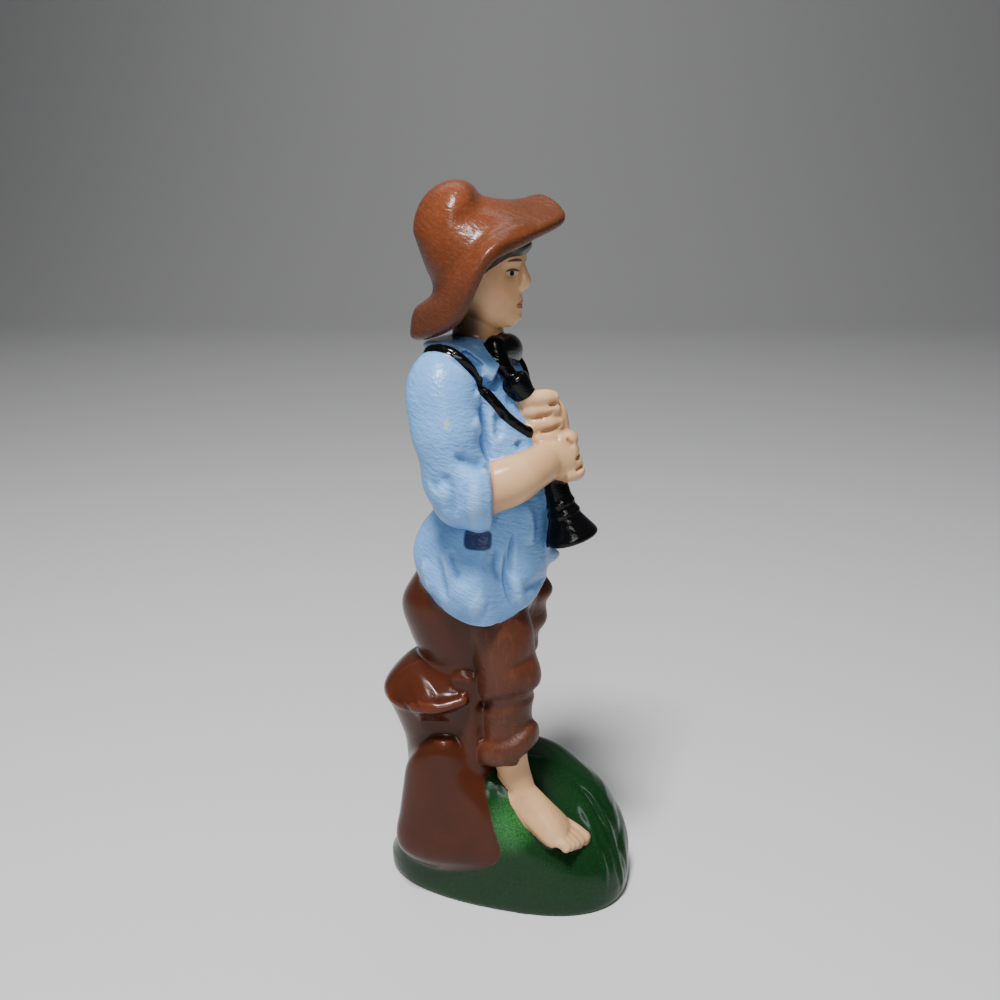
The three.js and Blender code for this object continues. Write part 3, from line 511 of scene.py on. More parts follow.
def sleeveForms(side):
    def folds(t, share):
        return 0.4 * np.cos(15 * t + 1.5 * circled(share)[0]) * hump(t, 0.7, 0.4)

    upper = [
        (side * 11, 12, 137, 7, 7.4), (side * 16, 12.8, 134, 7.6, 8.2), (side * 18.8, 11.6, 127.5, 7.4, 8),
        (side * 20, 10.3, 121, 7, 7.6), (side * 20.6, 8.8, 115, 6.9, 7.5), (side * 20.4, 7.4, 110, 6.9, 7),
    ]
    lower = [
        (side * 20.4, 8, 111, 6.4, 5.8), (side * 20, 5.4, 110, 6.6, 6.8), (side * 19.2, 3, 110.4, 6.3, 6.9),
    ]
    return [
        limb(upper, 48, 36, (0, 1.1), folds, (1, 0, 0)),
        limb(lower, 48, 12, (0.9, 0), None, (1, 0, 0)),
    ]


def sleeveRoll(centre, heading, wide, high):
    ahead = unit(heading)
    side = unit(np.cross(ahead, (0, 0, 1)))
    top = np.cross(side, ahead)
    section = [
        (-3, -5), (-1.4, -5.4), (-0.2, -5), (1.1, -3.4), (1.8, -1.4), (1.7, 0.2), (1, 1.6), (-0.8, 2.2),
        (-2.6, 1.6),
    ]

    def place(share, level):
        out, push = through(section, level).T[..., None]
        share = share[:, None]
        cosine, sine = circled(share)
        spot = np.array(centre) + ahead * (push + 0.3 * np.sin(2 * share * 2 * np.pi + 1))
        return spot + side * cosine * (wide + out) + top * sine * (high + out)

    return wrapped(place, 48, 24)


# A flat collar and a raised strap, both landed on the cloth

strap = {
    "width": 2.5, "height": 1.5, "lift": 0.3, "farLift": 0.5,
    "course": [
        (-8.4, -6.2, 122.7), (-12.3, -2.4, 126.6), (-14.4, 0.6, 131), (-16.6, 3.6, 135.6),
        (-17.6, 5.9, 139.4), (-17.6, 9.4, 142.4), (-16.6, 13, 143.4), (-14.4, 17.4, 142.6), (-8, 21.6, 141),
        (4, 21.4, 141), (9, 17, 142), (10, 11, 143), (9.6, 5.4, 143), (10, 1.8, 140), (10.6, -1, 135),
        (9.8, -3.4, 130), (7.4, -5.8, 124),
    ],
}
chestMiddle = np.array([0, 8, 128])


def landed(cloth, outside, target, lift):
    way = (Vector(target) - Vector(outside)).normalized()
    spot, normal, _, _ = cloth.ray_cast(Vector(outside), way)
    return np.array(spot + normal * lift)


def strapForm(cloth):
    count = 80
    course = through(strap["course"], np.linspace(0, 1, count))
    lift = blendOf(strap["lift"], strap["farLift"], easeIn(course[:, 0], -2, 6))
    outside = (course - chestMiddle) * 4 + chestMiddle
    spots = np.array([landed(cloth, start, chestMiddle, up) for start, up in zip(outside, lift)])
    for _ in range(3):
        spots[1:-1] = (spots[:-2] + 2 * spots[1:-1] + spots[2:]) / 4
    across = unit(np.cross(np.gradient(spots, axis=0), spots - chestMiddle))
    high = strap["height"] / 2 + np.maximum(lift - strap["lift"], 0)
    return limb(np.column_stack([spots, np.full(count, strap["width"] / 2), high]), 20, 240, across=across)


# Each stop of the collar's edge: a share of the round, and how far out the edge reaches there
collar = {
    "inside": 6, "middle": 8.6, "above": 170,
    "edge": [(0, 6.4), (0.1, 6.6), (0.145, 7.4), (0.16, 11), (0.178, 12.8), (0.205, 13.2), (0.26, 13.2),
             (0.32, 12.4), (0.4, 11.2), (0.5, 10.6)],
    "section": [(0, -4), (0.96, -3.4), (1, -0.6), (1.04, 0.4), (1.06, 1.5), (1.01, 2.5), (0.9, 2.8), (0.4, 2),
                (0, 1.7)],
}


def collarForm(cloth):
    stops, reaches = np.array(collar["edge"]).T
    section = np.array(collar["section"])

    def place(share, level):
        inside, lift = section[ringOf(level, len(section))].T
        edge = np.interp(np.abs(apart(share, 0)), stops, reaches)
        reach = blendOf(collar["inside"], edge, inside)
        cosine, sine = circled(share)
        x, y = -sine * reach, collar["middle"] - cosine * reach
        return np.array([landed(cloth, (*at, collar["above"]), (*at, 0), up) for *at, up in zip(x, y, lift)])

    return wrapped(place, 200, len(section) - 1)


# Arms and hands

armRows = {
    "near": [(-18.8, 4.4, 110.4, 5.2, 5.8), (-15.6, -3.4, 112.8, 5, 5.7), (-11.6, -7.6, 114.8, 4.4, 5),
             (-7.6, -10.4, 116, 3.6, 4.8)],
    "far": [(19, 3.6, 110.4, 5, 5.6), (16, -3, 115, 4.8, 5.2), (12, -6.4, 119.6, 4.2, 4.5),
            (7.6, -8.6, 123.4, 3.6, 4.3), (4.4, -9.4, 124.6, 3.4, 4)],
}
finger = {"width": 4.1, "knuckle": 0.1}


def knuckles(t, share):
    return finger["knuckle"] * np.cos(t * 2 * np.pi * 2.5)


def lowerHandForms():
    forms = [limb([
        (-8, -9.8, 116.2, 3.2, 4.6), (-5.4, -11.8, 116.6, 3.5, 5), (-3.6, -14, 116.2, 3.5, 5.2),
    ], 32, 12)]
    size = finger["width"] / 2
    for y, z in [(-16.2, 120.6), (-16.5, 117.7), (-17.3, 115), (-18, 112.8)]:
        forms.append(limb([
            (-5, y + 3.6, z - 0.2, size), (-3.6, y + 1.6, z, size),
            (-0.8, y + 1.2, z, size * 0.95), (1.8, y + 3, z - 0.4, size * 0.9),
        ], 20, 16, (0, 1), knuckles))
    return forms


def upperHandForms():
    forms = [limb([
        (3, -8.2, 129.2, 2.6, 3), (-0.2, -8.8, 126.4, 4.4, 5), (-0.2, -9.8, 123, 4.4, 4.8),
    ], 32, 12, across=(1, 0, 0))]
    for step, (y, z) in enumerate([(-11.8, 130.6), (-12.3, 127.8), (-12.9, 124.6), (-13.4, 121.4)]):
        size = finger["width"] / 2 * [1.05, 1, 1.05, 1.05][step]
        forms.append(limb([
            (-1.4, -3 - step * 0.8, z - 0.6, size), (-5.6, -4.6 - step * 0.8, z - 0.3, size),
            (-5.2, y + 3.6, z + 0.1, size), (-3.4, y + 1.2, z, size * 0.92),
        ], 20, 16, (0, 1), knuckles))
    return forms


# The shawm

shawmRows = [
    (-6.6, 2.4, 143, 2.4), (-7, 1.2, 140, 2.2), (-6.8, -1.2, 136.4, 1.7), (-5.2, -5.2, 132, 1.9),
    (-3.4, -7.4, 124, 2.4), (-2.5, -10, 115, 2.8), (-2.3, -12.4, 107, 3.1),
]
mouthEndRows = [
    (-6.6, 2, 142, 2.4, 2.4), (-1.6, 0.8, 142, 3.2, 3.4), (3.2, 1, 140.8, 3.4, 3.6), (6.2, 2, 138.6, 3, 3),
]
ferruleProfile = [(-0.4, 1.8), (0, 2.8), (0.8, 3.4), (2, 3.3), (4.8, 2.5), (5.6, 1.8)]
bellProfile = [
    (0, 3), (2, 3.2), (2.7, 3.6), (3.5, 3.3), (4.6, 3.6), (5.4, 4.1), (6.2, 3.8), (8, 4.7),
    (10, 5.8), (11.4, 6.5), (12.2, 6.5), (12.6, 5.9), (12.2, 4.8), (10.6, 4),
]

# Head, in a frame that looks straight ahead and is then turned

head = {"turn": math.radians(-6), "axis": (0, 8)}
headRows = [
    (146.8, -0.6, 5, -3.2, 3.2), (148.6, -2.2, 10, -5.4, 5.4), (151.4, -2.7, 14, -7.4, 7.4),
    (154.2, -2.8, 17, -8.6, 8.6), (157, -2.9, 16.6, -9.2, 9.2), (160, -3, 16.6, -9.6, 9.6),
    (163.2, -3.4, 16.6, -9.7, 9.7), (166.4, -2.8, 16.6, -9.2, 9.2), (169.6, -0.8, 16, -7.6, 7.6),
]
neckRows = [
    (138, 2.4, 15, -6.4, 6.4), (143, 2, 14, -5.8, 5.8), (149, 2, 14.4, -5.8, 5.8), (153, 3, 15, -6, 6),
]
hairRows = [
    (148.5, 13, 15.8, -8, 8, 2.2), (153, 11, 16.4, -9.8, 9.8, 2.4), (157, 4.8, 16.6, -11, 11, 3),
    (160, 1.4, 16.6, -11.4, 11, 3.2), (163, -2.6, 16.6, -11.2, 10, 2.6), (166, -5.2, 16, -10.4, 8.6, 2.2),
    (171, -3, 14, -8, 6.6, 2),
]
noseRows = [
    (0, -1.8, 162, 1.1, 1.4), (0, -3, 159.4, 1.2, 1.4), (0, -4, 157.3, 1.4, 1.2), (0, -3.1, 156.2, 1.7, 1),
]


def turned(spots):
    spots = np.array(spots, float)
    cosine, sine = math.cos(head["turn"]), math.sin(head["turn"])
    x, y = spots[..., 0] - head["axis"][0], spots[..., 1] - head["axis"][1]
    spots[..., 0] = head["axis"][0] + x * cosine - y * sine
    spots[..., 1] = head["axis"][1] + x * sine + y * cosine
    return spots


# Each relief of the face: how far out, its height and reach up, its place and spread round the head
faceReliefs = [
    (-1.1, 159.4, 2.2, 0.075, 0.05),  # eye sockets
    (0.55, 159.4, 1.1, 0.078, 0.03),  # eyeballs
    (0.35, 162.4, 1.8, 0.06, 0.09),  # brows
    (0.4, 155, 3, 0.11, 0.06),  # cheeks
    (0.45, 152.9, 0.9, 0, 0.05),  # upper lip
    (0.45, 151.2, 0.9, 0, 0.045),  # lower lip
    (0.5, 148.9, 1.6, 0, 0.06),  # chin
]


def faceRelief(z, share):
    aside = np.abs(apart(share, 0))
    out = 0
    for depth, height, reach, place, spread in faceReliefs:
        out = out + depth * hump(z, height, reach) * hump(aside, place, spread)
    return out, 0


def headForm():
    def place(share, level):
        pulled = share - 0.07 * circled(share)[1]
        return turned(uprightPlace(headRows, pulled, level, faceRelief))

    return wrapped(place, 120, 80)


def hairForm():
    def locks(z, share):
        return 0.3 * np.cos(share * 2 * np.pi * 10 + z * 0.3), 0

    return wrapped(lambda share, level: turned(uprightPlace(hairRows, share, level, locks)), 120, 40)


def noseForm():
    rows = np.array(noseRows, float)
    rows[:, :3] = turned(rows[:, :3])
    return limb(rows, 24, 16, across=(math.cos(head["turn"]), math.sin(head["turn"]), 0))


# The hat, given in eight stops round it: front, then the near side, the back and the far side

hat = {
    "rim": [
        (4.5, -12.3, 173), (-10.5, -7.2, 168.4), (-21.4, 1.6, 163.6), (-19.6, 9.6, 149), (-8.5, 22.4, 144.2),
        (6, 20, 149), (17.5, 9, 161), (13.4, -2.6, 177),
    ],
    "band": [
        (0.6, 3.2, 175.6), (-10.2, 1.6, 171), (-16.2, 5.8, 164), (-14.2, 12.6, 156.8), (-4.6, 17.4, 155),
        (5.6, 16.6, 157.4), (12, 9.6, 166), (9, 3.2, 174.6),
    ],
    "bulge": [
        (-1, 7.8, 176.8), (-9.8, 6.8, 173.2), (-14.4, 10.8, 169.4), (-12.8, 17, 166.8), (-5.6, 21.9, 168.6),
        (3, 20.8, 169), (8.8, 14.4, 171), (5.4, 9.2, 175.2),
    ],
    "top": (-3, 12, 180.1), "thickness": 2.9,
}


def hatPlace(share, down):
    high, low, edge = [around(hat[name], share) for name in ("bulge", "band", "rim")]
    top = np.array(hat["top"])
    quarter = (np.minimum(down, 1) * np.pi / 2)[:, None]
    dome = blendOf(top, high, np.sin(quarter))
    dome[:, 2] = blendOf(high[:, 2], top[2], np.cos(quarter[:, 0]))
    lobe = roundHump(share, 0.5, 0.16)[:, None] * np.array([0, 1.9, 1.2])
    stops = np.stack([high, blendOf(high, low, 0.55), low, blendOf(low, edge, 0.5) + lobe, edge])
    place = np.clip((down - 1) / 2, 0, 1) * 4
    index = np.minimum(place.astype(int), 3)
    rows = np.arange(len(down))
    near = [stops[np.clip(index + step, 0, 4), rows] for step in (-1, 0, 1, 2)]
    skirt = bendBetween(*near, (place - index)[:, None])
    return np.where((down < 1)[:, None], dome, skirt)


def hatForm():
    nudge = 0.02
    inside = np.array([0, 9, 163])
    rows = [(down, 0) for down in np.concatenate([np.linspace(0.04, 1, 16), np.linspace(1.06, 2.8, 30)])]
    rows += [(2.9, 0), (2.97, 0.12), (3, 0.35), (3, 0.65), (2.97, 0.88), (2.9, 1), (2.8, 1)]
    rows += [(down, 1) for down in np.linspace(2.7, 2, 10)] + [(2, -1)]
    rows = np.array(rows)

    def outward(share, down):
        turn = hatPlace(share + nudge, down) - hatPlace(share - nudge, down)
        fall = hatPlace(share, np.minimum(down + nudge, 3)) - hatPlace(share, down - nudge)
        return unit(np.cross(turn, fall))

    facing = np.sign(outward(np.array([0.25]), np.array([1.2]))[0, 0]) * -1

    def place(share, level):
        down, depth = rows[ringOf(level, len(rows))].T
        thick = np.where(depth < 0, 1, depth) * hat["thickness"]
        spots = hatPlace(share, down) - outward(share, down) * (thick * facing)[:, None]
        return np.where((depth < 0)[:, None], (spots + inside) / 2, spots)

    return wrapped(place, 140, len(rows) - 1)


# All forms, by the paint they carry


def allForms():
    torso = [smockForm(), *sleeveForms(-1), *sleeveForms(1)]
    cloth = BVHTree.FromBMesh(joinForms(torso))
    nearFoot = footForms((-11.6, -5, 30.8), (-12.2, -16, 20.9), 1)
    farFoot = footForms((11, 11.4, 38.2), (13, 3.2, 37), -1)
    return {
        "trousers": [
            upright(nearLegRows, 64, 60, kneeCrease), upright(farLegRows, 56, 50, farPleats),
            turnUp((-10.4, -1.6, 43.6), (5.6, 6), 3), turnUp((10.8, 8.4, 43.4), (5.8, 5.8), 0.6),
        ],
        "wood": [
            stumpForm(), upright(rootRows, 72, 44), upright(barkStripRows, 36, 20),
            limb(sawnLipRows, 20, 24), limb(barkKnobRows, 24, 10), upright(seatRows, 64, 40),
        ],
        "green": [moundForm()],
        "skin": [
            shin((-11.2, -3, 35.5), 43), shin((11, 10.4, 38), 43), *nearFoot, *farFoot,
            limb(armRows["near"], 36, 24, (0, 0.6)), limb(armRows["far"], 36, 24, (0, 0.6)),
            *lowerHandForms(), *upperHandForms(), upright(neckRows, 48, 16), headForm(), noseForm(),
        ],
        "smock": torso + [
            collarForm(cloth), sleeveRoll((-18.8, 2.8, 110.6), (0.22, -1, 0.1), 6.6, 7.3),
            sleeveRoll((18.8, 1.4, 110.8), (-0.22, -1, 0.2), 6.6, 7.3),
        ],
        "gloss": [
            limb(shawmRows, 32, 60, (1, 0), None, (1, 0, 0)), limb(mouthEndRows, 32, 20, across=(0, 1, 0)),
            strapForm(cloth),
            turnedForm((-6.8, -1.9, 135.6), (-6, -5.6, 130.6), ferruleProfile, 32),
            turnedForm((-2.3, -12.2, 107.6), (-1.8, -16, 96), bellProfile, 48),
        ],
        "hair": [hairForm()],
        "hat": [hatForm()],
    }


forms = allForms()
print("forms:", {name: len(each) for name, each in forms.items()})

# One cast body

casting = {"voxel": 0.38, "smoothing": 2, "triangles": 190000, "flatBelow": 0.35}


def castBody():
    joined = joinForms([form for each in forms.values() for form in each])
    mesh = bpy.data.meshes.new("casting")
    joined.to_mesh(mesh)
    joined.free()
    body = placed("casting", mesh)
    remesh = body.modifiers.new("cast", "REMESH")
    remesh.mode = "VOXEL"
    remesh.voxel_size = casting["voxel"]
    smooth = body.modifiers.new("soften", "SMOOTH")
    smooth.factor = 0.5
    smooth.iterations = casting["smoothing"]
    return applied(body)


def applied(body):
    ready = bpy.data.meshes.new_from_object(body.evaluated_get(bpy.context.evaluated_depsgraph_get()))
    body.modifiers.clear()
    body.data = ready
    return body


body = castBody()
print("cast body:", len(body.data.vertices), "points")


def valuesOf(items, name, width, kind=np.float32):
    flat = np.empty(len(items) * width, kind)
    items.foreach_get(name, flat)
    return flat.reshape(-1, width)


def pointsOf(mesh):
    return valuesOf(mesh.vertices, "co", 3).astype(float)


def normalsOf(mesh):
    return valuesOf(mesh.vertex_normals, "vector", 3).astype(float)


def layerOf(mesh, name):
    return valuesOf(mesh.attributes[name].data, "value", 1)[:, 0]


def addLayer(mesh, name, values):
    mesh.attributes.new(name, "FLOAT", "POINT").data.foreach_set("value", values.astype(np.float32))


def setPoints(mesh, points):
    mesh.vertices.foreach_set("co", points.astype(np.float32).ravel())
    mesh.update()


def within(points, corners, margin):
    low, high = corners.min(0) - margin, corners.max(0) + margin
    return np.nonzero(((points > low) & (points < high)).all(1))[0]


# Where each paint lies: how much closer a point is to that paint's own form than to any other

paintReach, paintLimit = 4.0, 3


def markPaint(mesh):
    points = pointsOf(mesh)
    away = {}
    for name, each in forms.items():
        joined = joinForms(each)
        tree = BVHTree.FromBMesh(joined)
        corners = np.array([vert.co for vert in joined.verts])
        joined.free()
        distance = np.full(len(points), paintReach)
        for index in within(points, corners, paintReach):
            found = tree.find_nearest(points[index], paintReach)
            if found[3] is not None:
                distance[index] = found[3]
        away[name] = distance
    for name, own in away.items():
        others = np.min([each for other, each in away.items() if other != name], 0)
        addLayer(mesh, name, np.clip(others - own, -paintLimit, paintLimit))


markPaint(body.data)
print("paints are marked")

# The casting has soft fillets where forms meet: its inner corners are eased, by paint, and the rest hardly
fillets = {
    "rounds": 44,
    "ease": {
        "trousers": 0.55, "wood": 0.95, "green": 0.5, "skin": 0.12, "smock": 0.3, "gloss": 0.05, "hair": 0.2,
        "hat": 0.9,
    },
    "faceEase": 0.05, "collarEase": 0.02, "swelling": 0.06,
}
zones = {"chin": 147, "brow": 166, "faceBack": 6, "collar": 133}  # heights, and how far back the face goes


def eased(points, one, other):
    count = np.bincount(one, minlength=len(points)) + np.bincount(other, minlength=len(points))
    total = np.zeros(points.shape)
    for axis in range(3):
        total[:, axis] += np.bincount(one, points[other, axis], len(points))
        total[:, axis] += np.bincount(other, points[one, axis], len(points))
    return total / np.maximum(count, 1)[:, None]


def fillCorners(mesh):
    one, other = valuesOf(mesh.edges, "vertices", 2, np.int32).T
    strength = np.zeros(len(mesh.vertices))
    best = np.full(len(mesh.vertices), -9.0)
    for name, ease in fillets["ease"].items():
        own = layerOf(mesh, name)
        strength = np.where(own > best, ease, strength)
        best = np.maximum(own, best)
    points = pointsOf(mesh)
    height = points[:, 2]
    face = (height > zones["chin"]) & (height < zones["brow"]) & (points[:, 1] < zones["faceBack"])
    strength = np.where(face & (layerOf(mesh, "hat") < 0), fillets["faceEase"], strength)
    collared = (layerOf(mesh, "smock") > 0) & (height > zones["collar"])
    strength = np.where(collared, fillets["collarEase"], strength)
    for _ in range(fillets["rounds"]):
        pull = eased(points, one, other) - points
        hollow = (pull * normalsOf(mesh)).sum(1) > 0
        points += pull * (strength * np.where(hollow, 1, fillets["swelling"]))[:, None]
        setPoints(mesh, points)


fillCorners(body.data)
print("inner corners are filled")

# Carving: each stroke has a width, a depth (a ridge if it is under 0) and a course on the surface

carving = {
    "hatRim": [(2.4, -0.9, [(-6.5, -7, 169.9), (-9.5, -4.8, 169.6), (-14, -1.5, 168), (-18, 2.2, 165.5),
                             (-18.6, 5, 162)])],
    "smock": [
        (2, -1.1, [(-14.1, 18.3, 92.9), (-15.6, 16.9, 88.6), (-16.5, 14.8, 83.2)]),
        (1.4, 1.1, [(-16.6, 14.3, 94.7), (-18.5, 12.9, 89.4), (-19.8, 10.7, 83.8)]),
        (4, -1.2, [(-19.8, 9.1, 90.6), (-21.1, 5.7, 85.6), (-20.4, 1.1, 83.7)]),
        (0.9, 1.4, [(-16.5, -2.4, 97), (-16.5, -2.5, 91), (-16.5, -2.7, 87.9), (-15.3, -3.4, 81.5)]),
        (1.6, -0.8, [(-15.2, -4.3, 90.8), (-14.3, -5.4, 81.5)]),
        (0.8, 1, [(-14.6, -4.2, 101), (-15.6, -3.4, 94.8), (-15.6, -3.7, 89)]),
        (2, -1.1, [(-12.3, -5.6, 107.5), (-11.3, -6.9, 101.4), (-11.9, -6.8, 95.9)]),
        (1.2, 0.8, [(-17.4, -0.6, 98), (-17.8, 0.4, 93), (-16.8, -1.4, 88)]),
        (1.6, 0.8, [(-14, -5.6, 85.4), (-10.5, -7.8, 86.1), (-2.3, -9.7, 85.7)]),
        (1.5, 0.8, [(-17.9, 10.8, 96.6), (-19.2, 10, 92.8), (-20.4, 7.8, 89.2)]),
    ],
    "chest": [
        (1.2, 1.2, [(-14.3, 3.9, 137), (-15.2, 3.3, 129.2), (-15.9, 2.7, 122.4), (-15.8, 1.5, 117)]),
        (1.8, -0.8, [(-17.5, 4.8, 134.2), (-15.5, 4.4, 129.6)]),
        (1.8, -0.7, [(-21.5, 4.1, 128.6), (-19.3, 3.7, 124)]),
        (1.2, 1.1, [(-13, 0, 129.3), (-14.8, -0.1, 122)]),
        (0.9, 0.6, [(-9, -1.8, 133), (-8.6, -1.9, 129)]),
        (1.2, 0.9, [(-11.7, -4.2, 122), (-11.5, -4.9, 119)]),
        (1.5, 0.8, [(-26.4, 13, 113), (-26.6, 11.2, 114.5), (-26.7, 7.7, 116.7)]),
        (0.8, 0.9, [(-18.4, 10.4, 141), (-17.9, 9, 140.3), (-16.7, 5.4, 138.3), (-13.5, 3.2, 134.7),
                    (-10.7, 1.9, 134.1), (-5.8, 1.5, 136.2), (-4.6, 1.4, 138)]),
    ],
    "cuff": [
        (1.3, 1.1, [(-26.3, 7.8, 121), (-24.3, 4.2, 118.8), (-19.6, 0.9, 116.2)]),
        (2.6, -1, [(-26.3, 6.9, 118.2), (-25.9, 3.8, 114.9), (-26.8, 3.2, 109.9), (-23.1, 4.1, 102.4)]),
        (1.6, 1, [(-27.1, 9.5, 117), (-27.4, 7.6, 112.1), (-25.7, 8.1, 105)]),
    ],
    "legs": [
        (1.1, 0.8, [(-13.8, 6.2, 54), (-12, 4.6, 53.9), (-16.4, 0.8, 57.5), (-16.7, -3.5, 59.1),
                    (-15.4, -7, 60.2), (-11.5, -9, 59.9)]),
        (1.6, 0.4, [(-10, -9, 68.4), (-14.4, -7, 67.9), (-17.4, -2, 66.4)]),
    ],
    "stump": [
        (2, 0.7, [(-14.9, 20, 50.1), (-14.6, 16.2, 49.2), (-13.6, 12.5, 50.8)]),
        (4, -0.8, [(-16.2, 21, 53.4), (-15.2, 18.4, 55.8), (-14.2, 16, 57.8)]),
    ],
    "hands": [(0.5, 0.8, course) for course in (
        [(-5.2, -14.5, 121.5), (-4.1, -15.6, 119.2)],
        [(-5.1, -15.8, 116.5), (-0.7, -16.6, 116.5)],
        [(-5.1, -16.5, 113.3), (-1.5, -17.5, 114)],
        [(-5.2, -9.4, 129.4), (-4.4, -10.7, 129.3), (-3.5, -12.2, 130.4)],
        [(-5.5, -6.1, 126), (-5.7, -8.8, 127.1), (-5, -11.3, 127.8)],
        [(-5.4, -7.6, 122.7), (-5.3, -10.9, 124), (-3.6, -13.2, 124.7)],
    )],
    "grass": [
        (2, -0.5, [(9, -22, 17), (6, -27, 13), (2, -30, 6)]),
        (1.6, 0.5, [(6, -22, 17), (0, -27, 12), (-5, -30, 6)]),
        (2, -0.5, [(2, -21, 17.4), (-4, -25.6, 12), (-9, -29, 6)]),
        (1.6, 0.4, [(12, -18, 20), (13, -24, 13), (11, -28, 6)]),
        (2, -0.5, [(16, -12, 22), (18, -18, 14), (17, -22, 6)]),
        (0.9, 0.6, [(0.1, -15.3, 28.8), (-0.9, -21.9, 23.8), (-5.2, -28.5, 12.5), (-8.4, -30.6, 1)]),
        (1, -0.6, [(1.2, -18, 27.5), (-1, -24, 22), (-5, -29.6, 10), (-7, -31, 2)]),
        (0.9, 0.6, [(1.2, -21.6, 25.5), (-1, -29, 15.8), (-2.6, -31.9, 2)]),
        (1, -0.5, [(-3, -19, 24), (-6, -23.4, 18), (-13, -27.5, 2.9)]),
    ],
}
# How far a stroke cuts, in widths, and how it runs out: over which share of it and to which width
blade = {"reach": 3, "taper": 0.35, "tip": 0.6}


def strokeOn(tree, course):
    # The course is drawn smooth, and each of its points is laid on the surface
    smooth = through(course, np.linspace(0, 1, 5 * len(course)))
    return np.array([tree.find_nearest(Vector(spot))[0] for spot in smooth])


def awayFromStroke(points, stroke):
    # How far each point is from the stroke, and how far along the stroke the nearest place is, 0 to 1
    nearest, along = np.full(len(points), 1e9), np.zeros(len(points))
    for step, (start, end) in enumerate(zip(stroke[:-1], stroke[1:])):
        span = end - start
        share = np.clip(((points - start) @ span) / max(span @ span, 1e-9), 0, 1)
        away = np.linalg.norm(points - start - share[:, None] * span, axis=1)
        along = np.where(away < nearest, (step + share) / (len(stroke) - 1), along)
        nearest = np.minimum(nearest, away)
    return nearest, along


def carve(mesh):
    points, normals = pointsOf(mesh), normalsOf(mesh)
    shape = bmesh.new()
    shape.from_mesh(mesh)
    tree = BVHTree.FromBMesh(shape)
    shape.free()
    moved = np.zeros(len(points))
    for strokes in carving.values():
        for width, depth, course in strokes:
            stroke = strokeOn(tree, course)
            close = within(points, stroke, blade["reach"] * width)
            away, along = awayFromStroke(points[close], stroke)
            taper = easeIn(np.minimum(along, 1 - along), 0, blade["taper"])
            spread = width * blendOf(blade["tip"], 1, taper)
            moved[close] -= depth * taper * np.exp(-(away / spread) ** 2)
    points += normals * moved[:, None]
    points[:, 2] = np.where(points[:, 2] < casting["flatBelow"], 0, points[:, 2])  # a flat underside
    setPoints(mesh, points)


carve(body.data)
print("folds and grooves are carved")

hollowMarks = {"rounds": 8, "gain": 6}


# How deep a point lies in a hollow: under 0 in grooves, over 0 on edges
def markHollows(mesh):
    one, other = valuesOf(mesh.edges, "vertices", 2, np.int32).T
    points, smooth = pointsOf(mesh), pointsOf(mesh)
    for _ in range(hollowMarks["rounds"]):
        smooth = eased(smooth, one, other)
    depth = ((points - smooth) * normalsOf(mesh)).sum(1)
    addLayer(mesh, "hollow", np.clip(depth * hollowMarks["gain"], -1, 1))


markHollows(body.data)


def triangleCount(mesh):
    return sum(len(face.vertices) - 2 for face in mesh.polygons)


def thinOut(piece):
    triangles = triangleCount(piece.data)
    if triangles > casting["triangles"]:
        fewer = piece.modifiers.new("thin", "DECIMATE")
        fewer.ratio = casting["triangles"] / triangles
        applied(piece)
    print("triangles:", triangles, "to", triangleCount(piece.data))


thinOut(body)
body.data.transform(Matrix.Scale(mm, 4))
body.data.polygons.foreach_set("use_smooth", [True] * len(body.data.polygons))
body.data.update()

# Paint and varnish


def tint(red, green, blue):
    # A colour as a painter reads it off a chart, 0 to 255, brought to light values
    def light(value):
        value /= 255
        return value / 12.92 if value <= 0.04045 else ((value + 0.055) / 1.055) ** 2.4

    return light(red), light(green), light(blue), 1.0


class Wire:
    # A link in the shader: sums on it add Math nodes
    def __init__(self, tree, socket=None):
        self.tree = tree
        self.socket = socket

    def node(self, kind, settings, values, output=0):
        made = self.tree.nodes.new("ShaderNode" + kind)
        for name, value in settings.items():
            setattr(made, name, value)
        self.feed(made, values)
        return Wire(self.tree, made.outputs[output])

    def feed(self, node, values):
        for name, value in values.items():
            if isinstance(value, Wire):
                self.tree.links.new(value.socket, node.inputs[name])
            else:
                node.inputs[name].default_value = value

    def maths(self, operation, first, second):
        return self.node("Math", {"operation": operation}, {0: first, 1: second})

    def __add__(self, other):
        return self.maths("ADD", self, other)

    def __radd__(self, other):
        return self.maths("ADD", other, self)

    def __sub__(self, other):
        return self.maths("SUBTRACT", self, other)

    def __rsub__(self, other):
        return self.maths("SUBTRACT", other, self)

    def __mul__(self, other):
        return self.maths("MULTIPLY", self, other)

    def __rmul__(self, other):
        return self.maths("MULTIPLY", other, self)

    def sibling(self, name):
        return Wire(self.tree, self.socket.node.outputs[name])

    def eased(self, low, high):
        settings = {"interpolation_type": "SMOOTHSTEP"}
        return self.node("MapRange", settings, {"Value": self, "From Min": low, "From Max": high})

    def blend(self, under, over):
        return self.node("Mix", {"data_type": "RGBA"}, {0: self, 6: under, 7: over}, 2)


# Each paint: its colour, the deeper one where it pools in hollows and painted shade darkens them, and how
# rough it is
paints = {
    "trousers": (tint(84, 46, 31), tint(56, 31, 21), 0.38),
    "wood": (tint(68, 32, 18), tint(45, 22, 14), 0.22),
    "green": (tint(5, 33, 13), tint(3, 19, 9), 0.24),
    "skin": (tint(208, 166, 124), tint(170, 120, 82), 0.24),
    "smock": (tint(116, 166, 222), tint(82, 122, 180), 0.26),
    "gloss": (tint(7, 7, 8), tint(4, 4, 5), 0.1),
    "hair": (tint(14, 10, 9), tint(6, 5, 5), 0.26),
    "hat": (tint(104, 54, 32), tint(72, 39, 26), 0.25),
}
varnish = {"coat": 0.06, "coatRoughness": 0.1, "specular": 0.22, "bristle": 1.0, "bristleDepth": 0.4}

